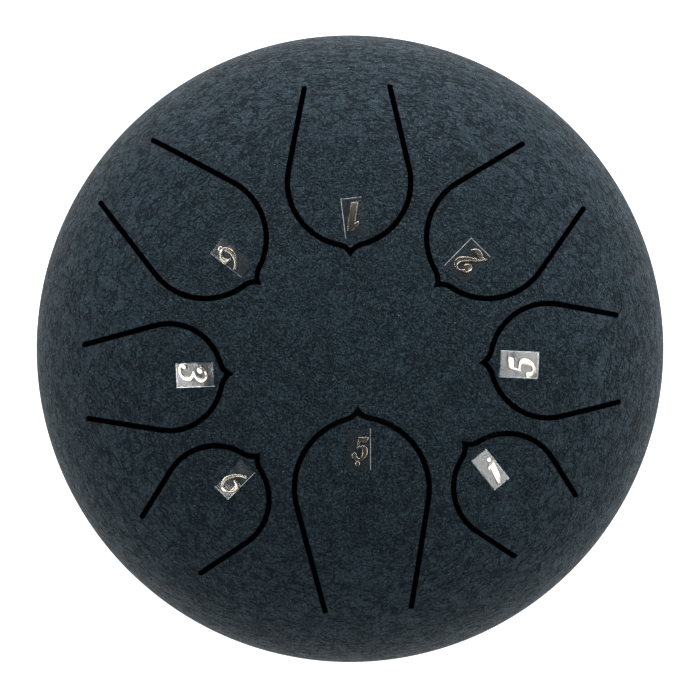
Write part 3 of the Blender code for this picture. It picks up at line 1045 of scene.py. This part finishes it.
@dataclass
class UpperShell:
    """The dome with its eight tongues."""

    dome: Dome
    finishes: Finishes
    steps: int = 288
    outer_steps: int = 76
    inner_steps: int = 40
    edge_round: float = 0.12  # of the slots' edges, in millimetres
    round_turns: tuple[int, ...] = (30, 60, 80)  # degrees of the round at which it has a point
    over: float = 0.05  # how far the round is cut clear of the surface, in millimetres
    over_widening: float = 1.45  # the widening there, times the round
    root: float = 0.6  # where a tongue's root line crosses its slot, in millimetres from the slot's end
    bend: float = 7.0  # length over which a tongue follows the shell, in millimetres
    low: float = 48 * MM
    high: float = 95 * MM
    skin: float = 0.03 * MM  # how near the dome's surface a point lies on it
    facing: float = 0.35  # least cosine between a face of the surface and the dome's normal

    def slot_cutter(self, slot: TongueSlot) -> bmesh.types.BMesh:
        """A band that follows the dome and opens out in a small round at its surface.

        Args:
            slot: the slot to cut.

        Returns:
            The closed cutter, whose rounds have material index 1.
        """
        bands = [(0.0, self.edge_round)]
        for turn in self.round_turns:
            angle = math.radians(turn)
            bands.append((self.edge_round * (1 - math.cos(angle)), self.edge_round * (1 - math.sin(angle))))
        bands.append((self.edge_round * self.over_widening, -self.over))
        loops = [[Vector((x, y, self.low)) for x, y in slot.to_plan(slot.band(0.0))]]
        for widening, depth in bands:
            loops.append([Vector((x, y, self.dome.height(x, y) - depth * MM))
                          for x, y in slot.to_plan(slot.band(widening))])
        loops.append([Vector((x, y, self.high)) for x, y in slot.to_plan(slot.band(bands[-1][0]))])
        return loft(loops, [0] + [1] * (len(bands) - 1) + [0])

    def tongue_region(self, slot: TongueSlot) -> bmesh.types.BMesh:
        """A prism over a tongue, whose sides run along the middle of its slot."""
        plan = slot.to_plan(slot.line(0.0, self.root))
        return loft([[Vector((x, y, z)) for x, y in plan] for z in (self.low, self.high)])

    def true_normals(self, mesh: bpy.types.Mesh) -> None:
        """Gives the outer surface the dome's own normals, so that cuts leave no ripples in its sheen.

        Args:
            mesh: a piece cut from the dome.
        """
        smooth(mesh, 25.0)
        power, rise = self.dome.power, self.dome.rise
        corners = np.array([c.vector for c in mesh.corner_normals], float)
        verts = np.empty(len(mesh.vertices) * 3)
        mesh.vertices.foreach_get("co", verts)
        verts = verts.reshape(-1, 3)
        across = np.minimum(np.hypot(verts[:, 0], verts[:, 1]) / self.dome.radius, 1.0)
        up = (1 - across**power) ** (1 / power)
        depth = self.dome.edge_height + rise * up - verts[:, 2]
        steep = np.maximum(across, 1e-6) ** (power - 2) / self.dome.radius**2
        normals = np.stack([verts[:, 0] * steep, verts[:, 1] * steep, up ** (power - 1) / rise], 1)
        normals /= np.linalg.norm(normals, axis=1, keepdims=True)
        owner = np.empty(len(mesh.loops), np.int32)
        mesh.loops.foreach_get("vertex_index", owner)
        face_of = np.repeat(np.arange(len(mesh.polygons)), [p.loop_total for p in mesh.polygons])
        face_normals = np.array([p.normal for p in mesh.polygons], float)[face_of]
        facing = np.einsum("ij,ij->i", face_normals, normals[owner])
        # the depth is measured upright, so it is scaled to the sheet's own thickness near the rim
        outer = (np.abs(depth[owner] * normals[owner, 2]) < self.skin) & (facing > self.facing)
        corners[outer] = normals[owner][outer]
        mesh.normals_split_custom_set(corners.tolist())

    def islands(self, mesh: bpy.types.Mesh) -> list[bpy.types.Mesh]:
        """Splits a mesh into its separate pieces.

        Args:
            mesh: the mesh, which is kept.

        Returns:
            One mesh for each piece.
        """
        shape = bmesh.new()
        shape.from_mesh(mesh)
        shape.verts.ensure_lookup_table()
        found = np.full(len(shape.verts), -1)
        count = 0
        for start in shape.verts:
            if found[start.index] >= 0:
                continue
            queue = [start]
            found[start.index] = count
            while queue:
                for edge in queue.pop().link_edges:
                    for vert in edge.verts:
                        if found[vert.index] < 0:
                            found[vert.index] = count
                            queue.append(vert)
            count += 1
        pieces = []
        for number in range(count):
            part = shape.copy()
            part.verts.ensure_lookup_table()
            others = [v for v in part.verts if found[v.index] != number]
            bmesh.ops.delete(part, geom=others, context="VERTS")
            made = bpy.data.meshes.new("island")
            part.to_mesh(made)
            part.free()
            pieces.append(made)
        shape.free()
        return pieces

    def build(self) -> None:
        """Cuts the slots, parts the tongues from the shell, hangs the shell on the drum, and puts the tongues
        in the scene.
        """
        blank = turned(self.dome.profile(self.outer_steps, self.inner_steps), self.steps)
        regions = joined([self.tongue_region(note.slot) for note in NOTES])
        cut = combined(blank, joined([self.slot_cutter(note.slot) for note in NOTES]), "DIFFERENCE")
        shell = combined(cut, regions, "DIFFERENCE")
        tongues = self.islands(combined(cut, regions, "INTERSECT"))
        LOG.info("the dome is cut into a shell and %d tongues", len(tongues))
        self.true_normals(shell)
        item = new_object(shell, "dome_shell", self.finishes.shell, self.finishes.edge)
        present(item, "drum", Slot.SHELL_PAINT, "upper_shell")
        for note in NOTES:
            self.hang_tongue(note, tongues)

    def hang_tongue(self, note: Note, tongues: list[bpy.types.Mesh]) -> None:
        """Finds a note's tongue among the cut pieces and puts it in the scene in place of its CAD node.

        Args:
            note: the note.
            tongues: the cut pieces.
        """
        middle = Vector(note.slot.to_plan([(note.slot.length / 2, 0.0)])[0])
        mesh = min(tongues, key=lambda m: min((v.co.xy - middle).length for v in m.vertices))
        self.true_normals(mesh)
        item = new_object(mesh, f"{note.name}_tongue", self.finishes.shell, self.finishes.edge)
        ends = note.slot.to_plan([(self.root, 0.0), (self.root + self.bend, 0.0)])
        start, end = (Vector((x, y, self.dome.height(x, y))) for x, y in ends)
        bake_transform(item)
        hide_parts(f"tongue_{note.name}")
        LOG.info("%s bends at its root, with %d faces", item.name, len(mesh.polygons))


@dataclass
class LowerShell:
    """The bowl, with its sound hole and the holes for the feet's screws."""

    finishes: Finishes
    base_radius: float = 46.0 * MM
    edge_height: float = 41.5 * MM
    hole_radius: float = 22.5 * MM
    screw_hole: float = 1.8 * MM
    curve_steps: int = 48
    lip_steps: int = 8
    flat_start: float = 2.0 * MM  # of the first ring of the flat base, from the sound hole's edge
    flat_pitch: float = 4.0 * MM
    flat_rings: int = 6
    steps: int = 256

    def profile(self) -> list[Point2]:
        """Draws the sheet from the edge to the sound hole's rounded lip and back.

        Returns:
            The closed profile.
        """
        curve = QuarterCurve(SHELL_POWER, self.base_radius, SHELL_RADIUS - self.base_radius,
                             self.edge_height - BASE_HEIGHT)
        walked = curve.walked(self.curve_steps)
        outside = [(p.x, self.edge_height - p.y) for p, _ in walked]
        inside = [(p.x - SHEET * n.x, self.edge_height - p.y + SHEET * n.y) for p, n in walked]
        lip, half = [], SHEET / 2
        for step in range(self.lip_steps + 1):
            angle = math.pi / 2 + math.pi * step / self.lip_steps
            lip.append((self.hole_radius + half * (1 + math.cos(angle)),
                        BASE_HEIGHT + half * (1 + math.sin(angle))))
        first = self.hole_radius + self.flat_start
        rings = [first + step * self.flat_pitch for step in range(self.flat_rings)]
        outer_flat = [(ring, BASE_HEIGHT) for ring in rings]
        inner_flat = [(ring, BASE_HEIGHT + SHEET) for ring in rings[::-1]]
        return outside + inside[::-1] + inner_flat + lip + outer_flat

    def build(self) -> None:
        """Spins the bowl and drills it."""
        drills = []
        for number in FOOT_NUMBERS:
            drill = bmesh.new()
            bmesh.ops.create_cone(drill, cap_ends=True, segments=32, radius1=self.screw_hole,
                                  radius2=self.screw_hole, depth=10 * MM,
                                  matrix=Matrix.Translation(foot_place(number, BASE_HEIGHT)))
            drills.append(drill)
        bowl = combined(turned(self.profile(), self.steps), joined(drills), "DIFFERENCE")
        smooth(bowl, 30.0)
        item = new_object(bowl, "bowl_shell", self.finishes.shell)
        present(item, "drum", Slot.SHELL_PAINT, "lower_shell")


@dataclass
class SeamWeld:
    """The ground weld that closes the gap between the two shells at the drum's waist."""

    finishes: Finishes
    seam_height: float = 42.5 * MM
    crown: float = 0.2 * MM  # how far the bead stands out of the shells
    tuck: float = 0.12 * MM  # how far the bead's edges lie inside them
    half_width: float = 1.6 * MM
    fullness: float = 0.8  # exponent of the bead's section
    waver: float = 0.25 * MM  # how far the ground bead strays up and down
    ground: float = 0.4  # how much of its crown is ground away at most
    profile_steps: int = 16
    steps: int = 288

    def profile(self) -> list[Point2]:
        """Draws the bead outside, and the root of the weld inside the shells.

        Returns:
            The closed profile.
        """
        points = []
        for step in range(self.profile_steps + 1):
            t = -1 + 2 * step / self.profile_steps
            points.append((SHELL_RADIUS - self.tuck + (self.crown + self.tuck) * (1 - t**2) ** self.fullness,
                           self.seam_height + t * self.half_width))
        inner, half = SHELL_RADIUS - SHEET - 0.2 * MM, self.half_width * 0.7
        return points + [(inner, self.seam_height + half), (inner, self.seam_height - half)]

    def build(self) -> None:
        """Spins a softly crowned band, with the slight waver that hand grinding leaves."""
        mesh = turned(self.profile(), self.steps, 40.0)
        for vert in mesh.vertices:
            out = vert.co.xy.length - (SHELL_RADIUS - 0.05 * MM)
            if out > 0:
                waver = noise.noise(vert.co * 160.0) * 0.35 + noise.noise(vert.co * 60.0) * 0.3
                vert.co.z += waver * self.waver
                vert.co.xy *= 1 - out * max(0.0, self.ground * waver) / vert.co.xy.length
        item = new_object(mesh, "waist_weld", self.finishes.weld)
        present(item, "drum", Slot.WELD_PAINT, "seam_weld")


@dataclass
class Foot:
    """One rubber foot with its screw, washer and nut."""

    finishes: Finishes
    number: int
    top_radius: float = 8.2 * MM
    bottom_radius: float = 7.2 * MM
    line_height: float = 4.3 * MM  # of the parting line
    line_step: float = 0.12 * MM
    recess_radius: float = 4.0 * MM
    recess_depth: float = 3.6 * MM
    bore: float = 1.62 * MM
    screw_radius: float = 1.5 * MM
    thread_length: float = 9.4 * MM
    thread_pitch: float = 0.5 * MM
    thread_depth: float = 0.22 * MM
    head_radius: float = 2.8 * MM
    head_height: float = 1.5 * MM
    cross: tuple[float, float, float] = (3.0 * MM, 0.62 * MM, 1.8 * MM)
    washer_bore: float = 1.65 * MM
    washer_radius: float = 3.5 * MM
    washer_thickness: float = 0.5 * MM
    nut_bore: float = 1.55 * MM
    nut_height: float = 2.4 * MM
    nut_across_flats: float = 5.5 * MM

    def hang(self, name: str, mesh: bpy.types.Mesh, slot: Slot, node: str) -> None:
        """Moves a turned mesh to the foot's place and presents it.

        Args:
            name: the piece's name without its number.
            mesh: its mesh, round the Z axis.
            slot: the record's slot for its finish.
            node: the CAD node that it stands for, without its number.
        """
        mesh.transform(Matrix.Translation(foot_place(self.number)))
        finish = self.finishes.rubber if slot is Slot.RUBBER else self.finishes.steel
        present(new_object(mesh, f"{name}_{self.number}", finish), "drum", slot, f"{node}_{self.number}")

    def rubber_mesh(self) -> bpy.types.Mesh:
        """Turns a tapered puck with a rounded tread, a parting line and a screw recess.

        Returns:
            The foot's mesh, round the Z axis.
        """
        waist = self.top_radius - 0.28 * MM
        return turned(rounded_profile([
            (self.bore, BASE_HEIGHT, 0.2 * MM), (self.top_radius, BASE_HEIGHT, 0.3 * MM),
            (waist, self.line_height, 0), (waist - self.line_step, self.line_height - 0.1 * MM, 0),
            (self.bottom_radius, 0.0, 0.9 * MM), (self.recess_radius + 0.2 * MM, 0.0, 0.35 * MM),
            (self.recess_radius, self.recess_depth, 0.3 * MM), (self.bore, self.recess_depth, 0.2 * MM),
        ]), 72, 40.0)

    def screw_mesh(self) -> bpy.types.Mesh:
        """Turns a pan-head screw, its head down and its thread up, and cuts its cross recess.

        Returns:
            The screw's mesh, round the Z axis.
        """
        under_head = self.recess_depth - self.washer_thickness
        low, top = under_head - self.head_height, under_head + self.thread_length
        thread, height = [], under_head + 0.4 * MM
        while height < top:
            thread += [(self.screw_radius - self.thread_depth, height),
                       (self.screw_radius, height + self.thread_pitch / 2)]
            height += self.thread_pitch
        profile = rounded_profile([
            (0.0, low, 0), (self.head_radius - 0.5 * MM, low, 0.5 * MM),
            (self.head_radius, low + 0.8 * MM, 0.3 * MM), (self.head_radius, under_head, 0.1 * MM),
            (self.screw_radius, under_head, 0),
        ])
        tip = top + 0.3 * MM
        screw = turned(profile + thread + [(self.screw_radius - 0.3 * MM, tip), (0.0, tip)], 40, 35.0)
        for angle in (0.0, math.pi / 2):
            arm = bmesh.new()
            bmesh.ops.create_cube(arm, size=1.0, matrix=Matrix.LocRotScale(
                Vector((0, 0, low)), Matrix.Rotation(angle, 3, "Z"), Vector(self.cross)))
            bmesh.ops.bevel(arm, geom=arm.edges[:], offset=0.12 * MM, segments=2, profile=0.5,
                            affect="EDGES", material=-1)
            screw = combined(screw, joined([arm]), "DIFFERENCE")
        smooth(screw, 35.0)
        return screw

    def washer_mesh(self) -> bpy.types.Mesh:
        """Turns a flat washer with softened edges.

        Returns:
            The washer's mesh, round the Z axis.
        """
        low = self.recess_depth - self.washer_thickness
        return turned(rounded_profile([
            (self.washer_bore, low, 0.08 * MM), (self.washer_radius, low, 0.12 * MM),
            (self.washer_radius, self.recess_depth, 0.08 * MM),
            (self.washer_bore, self.recess_depth, 0.06 * MM),
        ], 2), 48, 40.0)

    def nut_mesh(self) -> bpy.types.Mesh:
        """Cuts a hexagon nut, with its corners turned down.

        Returns:
            The nut's mesh, round the Z axis.
        """
        low = BASE_HEIGHT + SHEET
        high = low + self.nut_height
        corner = self.nut_across_flats / math.sqrt(3)
        under, over, turn = low - MM, high + MM, 0.35 * MM
        narrow, wide = corner * 0.93, corner * 1.02
        hexagon = turned([(0.0, low), (corner, low), (corner, high), (0.0, high)], 6, 20.0)
        barrel = turned([(0.0, under), (narrow, under), (narrow, low), (wide, low + turn),
                         (wide, high - turn), (narrow, high), (narrow, over), (0.0, over)], 48)
        bore = turned([(0.0, under), (self.nut_bore, under), (self.nut_bore, over), (0.0, over)], 32)
        nut = combined(combined(hexagon, barrel, "INTERSECT"), bore, "DIFFERENCE")
        smooth(nut, 25.0)
        return nut

    def build(self) -> None:
        """Builds the foot and its fasteners."""
        self.hang("foot", self.rubber_mesh(), Slot.RUBBER, "rubber_foot")
        self.hang("screw", self.screw_mesh(), Slot.ZINC_STEEL, "foot_screw")
        self.hang("washer", self.washer_mesh(), Slot.ZINC_STEEL, "foot_washer")
        self.hang("nut", self.nut_mesh(), Slot.ZINC_STEEL, "foot_nut")


@dataclass
class NoteSticker:
    """A clear film on a tongue with a raised metal numeral."""

    dome: Dome
    finishes: Finishes
    note: Note
    film_thickness: float = 0.10 * MM
    film_lift: float = 0.06 * MM
    film_columns: int = 18
    ripple: float = 0.07 * MM
    tooth_pitch: float = 0.42 * MM
    tooth_depth: float = 0.14 * MM
    border: float = 0.20 * MM
    numeral_gap: float = 0.04 * MM  # between the film and the numeral
    numeral_thickness: float = 0.26 * MM
    bevel: float = 0.07 * MM
    slant: float = 0.26
    dot_radius: float = 0.58 * MM

    def frame(self, lift: float) -> Matrix:
        """The sticker's frame at a height over the dome, with Y towards the numeral's top."""
        x, y = (value * MM for value in self.note.film)
        return self.dome.frame(x, y, math.radians(self.note.upright), lift)

    def draped(self, place: Vector, frame: Matrix) -> Vector:
        """Lays a point of the flat film on the dome.

        Args:
            place: the point in the sticker's frame, with its height over the dome as z.
            frame: the sticker's frame on the dome's surface.

        Returns:
            The point in the drum's frame.
        """
        over = frame @ Vector((place.x, place.y, 0))
        surface = Vector((over.x, over.y, self.dome.height(over.x, over.y)))
        return surface + self.dome.normal(over.x, over.y) * place.z

    def flat_film(self, wide: float, long: float) -> bmesh.types.BMesh:
        """Makes a thin flat rectangle with a narrow border of faces, toothed where it was torn off.

        Args:
            wide: its width.
            long: its length.

        Returns:
            The sheet, with how much painted highlight each border face carries in its rim layer.
        """
        columns, rows = self.film_columns, 2 * round(long / self.tooth_pitch)
        shape = bmesh.new()
        bmesh.ops.create_grid(shape, x_segments=columns, y_segments=rows, size=0.5)
        inner_x = (1 - 2 * self.border / wide) * columns / (columns - 2)
        inner_y = (1 - 2 * self.border / long) * rows / (rows - 2)
        for vert in shape.verts:
            side = round(2 * vert.co.x) if abs(vert.co.x) > 0.499 else 0
            row = round((vert.co.y + 0.5) * rows)
            vert.co.x = wide * (side / 2 if side else vert.co.x * inner_x)
            vert.co.y = long * (vert.co.y if abs(vert.co.y) > 0.499 else vert.co.y * inner_y)
            if side and self.note.edges.torn[side > 0]:
                vert.co.x -= side * self.tooth_depth * (row % 2)
        bmesh.ops.solidify(shape, geom=shape.faces[:], thickness=self.film_thickness)
        rim = shape.faces.layers.float.new("rim")
        # painted highlight: each border face takes its side's strength
        left, right, bottom, top = self.note.edges.value
        for face in shape.faces:
            middle = face.calc_center_median()
            if abs(middle.x) > wide / 2 - self.border:
                face[rim] = right if middle.x > 0 else left
            if abs(middle.y) > long / 2 - self.border:
                face[rim] = max(face[rim], top if middle.y > 0 else bottom)
        return shape

    def film_mesh(self) -> bpy.types.Mesh:
        """Lays the film over the dome with small ripples.

        Returns:
            The film's mesh.
        """
        wide, long = (value * MM for value in self.note.film_size)
        shape = self.flat_film(wide, long)
        frame, seed = self.frame(0.0), 7.0 * hash_of(self.note.name)
        for vert in shape.verts:
            wave = noise.noise(Vector((vert.co.x * 330, vert.co.y * 200, seed)))
            edge = max(abs(vert.co.x) / wide, abs(vert.co.y) / long) * 2
            lift = self.film_lift + self.film_thickness + self.ripple * (0.5 + wave) * edge**2
            vert.co = self.draped(Vector((vert.co.x, vert.co.y, lift + vert.co.z)), frame)
        return mesh_from(shape, 40.0)

    def numeral_mesh(self) -> bpy.types.Mesh:
        """Makes the numeral as a plate with rounded edges, drawn from its outlines.

        Returns:
            The numeral's mesh in the sticker's frame.
        """
        curve = bpy.data.curves.new("numeral", "CURVE")
        curve.dimensions, curve.fill_mode = "2D", "BOTH"
        curve.resolution_u, curve.bevel_resolution = 10, 2
        curve.bevel_depth, curve.offset = self.bevel, -self.bevel / 2
        curve.extrude = self.numeral_thickness / 2 - self.bevel
        size = self.note.digit_height * MM / GLYPH_HEIGHT
        shift_x, shift_y = (value * MM for value in self.note.digit_shift)
        outline = GLYPHS[self.note.digit]
        spline = curve.splines.new("BEZIER")
        spline.bezier_points.add(len(outline) - 1)
        spline.use_cyclic_u = True
        for point, (across, up, corner) in zip(spline.bezier_points, outline):
            high = up - GLYPH_HEIGHT / 2
            wide = across - GLYPH_WIDTH / 2 + self.slant * high
            point.co = (wide * size + shift_x, high * size + shift_y, 0)
            point.handle_left_type = point.handle_right_type = "VECTOR" if corner else "AUTO"
        drawn = bpy.data.objects.new("drawn", curve)
        bpy.context.scene.collection.objects.link(drawn)
        made = bpy.data.meshes.new_from_object(drawn.evaluated_get(bpy.context.evaluated_depsgraph_get()))
        bpy.data.objects.remove(drawn)
        shape = bmesh.new()
        shape.from_mesh(made)
        bmesh.ops.remove_doubles(shape, verts=shape.verts, dist=0.002 * MM)
        return mesh_from(shape, 50.0)

    def dot_mesh(self) -> bpy.types.Mesh:
        """Turns the octave dot, a small domed disc.

        Returns:
            The dot's mesh in the sticker's frame.
        """
        half = self.numeral_thickness / 2
        mesh = turned(rounded_profile([(0.0, half, 0), (self.dot_radius, half, 0.16 * MM),
                                       (self.dot_radius, -half, 0.05 * MM), (0.0, -half, 0)]), 40, 50.0)
        mesh.transform(Matrix.Translation(Vector((*self.note.dot, 0)) * MM))
        return mesh

    def hang(self, kind: str, mesh: bpy.types.Mesh, slot: Slot, node: str) -> None:
        """Presents one piece of the sticker on its tongue.

        Args:
            kind: what the piece is, which ends its name.
            mesh: its mesh in the drum's frame.
            slot: the record's slot for its finish.
            node: the CAD node that it stands for, without its note.
        """
        finish = self.finishes.film if slot is Slot.CLEAR_FILM else self.finishes.nickel
        item = new_object(mesh, f"{self.note.name}_{kind}", finish)
        present(item, f"tongue_{self.note.name}", slot, f"{node}_{self.note.name}")

    def build(self) -> None:
        """Builds the film, the numeral and its dot."""
        self.hang("film", self.film_mesh(), Slot.CLEAR_FILM, "film")
        film_top = self.film_lift + self.film_thickness
        raised = self.frame(film_top + self.numeral_gap + self.numeral_thickness / 2)
        numeral = self.numeral_mesh()
        numeral.transform(raised)
        self.hang("numeral", numeral, Slot.BRIGHT_NICKEL, "numeral")
        if self.note.dot:
            dot = self.dot_mesh()
            dot.transform(raised)
            self.hang("dot", dot, Slot.BRIGHT_NICKEL, "octave_dot")


def hash_of(name: str) -> float:
    """A fixed number from 0 to 1 for a name."""
    return (sum(ord(letter) * (place + 3) for place, letter in enumerate(name)) % 97) / 97


# ---------------------------------------------------------------------------
# Studio


@dataclass(frozen=True)
class Card:
    """One soft light that looks at the drum."""

    name: str
    azimuth: float  # from +X, in degrees
    tilt: float  # from straight up, in degrees
    distance: float
    size: Point2
    power: float
    colour: Colour = (1.0, 1.0, 1.0)

    def build(self, aim: Vector) -> None:
        """Makes the light.

        Args:
            aim: the point that it looks at.
        """
        around, down = math.radians(self.azimuth), math.radians(self.tilt)
        out = Vector((math.cos(around) * math.sin(down), math.sin(around) * math.sin(down), math.cos(down)))
        light = bpy.data.lights.new(self.name, "AREA")
        light.shape, light.size, light.size_y = "RECTANGLE", self.size[0], self.size[1]
        light.energy, light.color = self.power, self.colour
        item = bpy.data.objects.new(self.name, light)
        item.location = aim + out * self.distance
        item.rotation_euler = out.to_track_quat("Z", "Y").to_euler()
        bpy.context.scene.collection.objects.link(item)


@dataclass
class Studio:
    """A pale floor, soft lights and a camera straight over the drum."""

    camera_height: float = 1.1425
    camera_shift: float = -0.32 * MM
    lens: float = 228.8
    aim_height: float = 60 * MM
    floor_size: float = 8.0
    # painted shadow: the floor's colour below the drum
    floor_painted_shadow: Colour = (0.02, 0.02, 0.02)  # below the drum
    floor_pale: Colour = (0.86, 0.86, 0.86)
    floor_glow: float = 0.76
    pale_reach: Point2 = (40 * MM, 66 * MM)  # distances from the drum's axis
    glow_reach: Point2 = (60 * MM, 79 * MM)
    world: Colour = (0.80, 0.80, 0.80)
    world_strength: float = 0.03
    cards: tuple[Card, ...] = (
        Card("back_light", 90.0, 72.0, 1.6, (1.5, 0.6), 3.7),
        Card("back_low_light", 90.0, 82.0, 1.6, (1.5, 0.5), 18.5),
        Card("back_high_light", 90.0, 55.0, 1.6, (1.2, 0.5), 8.6),
        Card("back_right_light", 38.0, 66.0, 1.5, (0.9, 0.7), 6.6),
        Card("left_wash", 182.0, 52.0, 1.5, (1.0, 0.6), 8.4, (0.80, 0.96, 1.0)),
        Card("right_wash", -2.0, 72.0, 1.5, (1.0, 0.6), 7.6, (0.80, 0.96, 1.0)),
        Card("five_card", 0.0, 37.0, 1.2, (0.30, 0.32), 1.3),
        Card("high_card", -40.0, 38.5, 1.2, (0.28, 0.38), 1.4),
        Card("three_card", 190.0, 37.0, 1.2, (0.30, 0.28), 1.4),
        Card("six_card", 229.0, 45.5, 1.2, (0.24, 0.24), 0.6),
        Card("low_six_card", 146.0, 39.5, 1.2, (0.24, 0.24), 0.5),
    )

    def floor(self) -> None:
        """A pale floor that stays bright round the drum, with a painted shadow under it, where its colour
        turns near black and its glow fades out.
        """
        shape = bmesh.new()
        bmesh.ops.create_grid(shape, x_segments=2, y_segments=2, size=self.floor_size / 2)
        mesh = bpy.data.meshes.new("studio_floor")
        shape.to_mesh(mesh)
        shape.free()
        sheet = CoatSheet("pale_floor")
        reach = sheet.add("ShaderNodeVectorMath", {"operation": "LENGTH"}, i0=sheet.place).outputs["Value"]
        # the painted shadow: the colour darkens and the glow fades towards the drum's axis
        glow, shade = sheet.ramp(reach, *self.glow_reach), sheet.ramp(reach, *self.pale_reach)
        sheet.put(Base_Color=sheet.mix(shade, self.floor_painted_shadow, self.floor_pale), Roughness=0.7,
                  Emission_Color=sheet.mix(glow, (0.0, 0.0, 0.0), (1.0, 1.0, 1.0)),
                  Emission_Strength=self.floor_glow)
        new_object(mesh, "studio_floor", sheet.material)

    def camera(self) -> None:
        """The camera, straight above and looking down."""
        data = bpy.data.cameras.new("camera")
        data.lens, data.sensor_width = self.lens, 36.0
        data.clip_start, data.clip_end = 0.05, 30.0
        item = bpy.data.objects.new("camera", data)
        item.location = (0.0, self.camera_shift, self.camera_height)
        bpy.context.scene.collection.objects.link(item)
        bpy.context.scene.camera = item

    def build(self) -> None:
        """Sets up the world, the floor, the lights and the camera."""
        scene = bpy.context.scene
        scene.view_settings.view_transform = "Standard"
        scene.world = scene.world or bpy.data.worlds.new("studio")
        scene.world.use_nodes = True
        sky = scene.world.node_tree.nodes["Background"]
        sky.inputs["Color"].default_value = (*self.world, 1.0)
        sky.inputs["Strength"].default_value = self.world_strength
        self.floor()
        for card in self.cards:
            card.build(Vector((0, 0, self.aim_height)))
        self.camera()


def main() -> None:
    """Builds the drum and its studio."""
    logging.basicConfig(level=logging.INFO, format="%(name)s: %(message)s")
    finishes = Finishes()
    dome = Dome()
    UpperShell(dome, finishes).build()
    LowerShell(finishes).build()
    SeamWeld(finishes).build()
    for number in FOOT_NUMBERS:
        Foot(finishes, number).build()
    for note in NOTES:
        NoteSticker(dome, finishes, note).build()
    Studio().build()


if __name__ == "__main__":
    main()
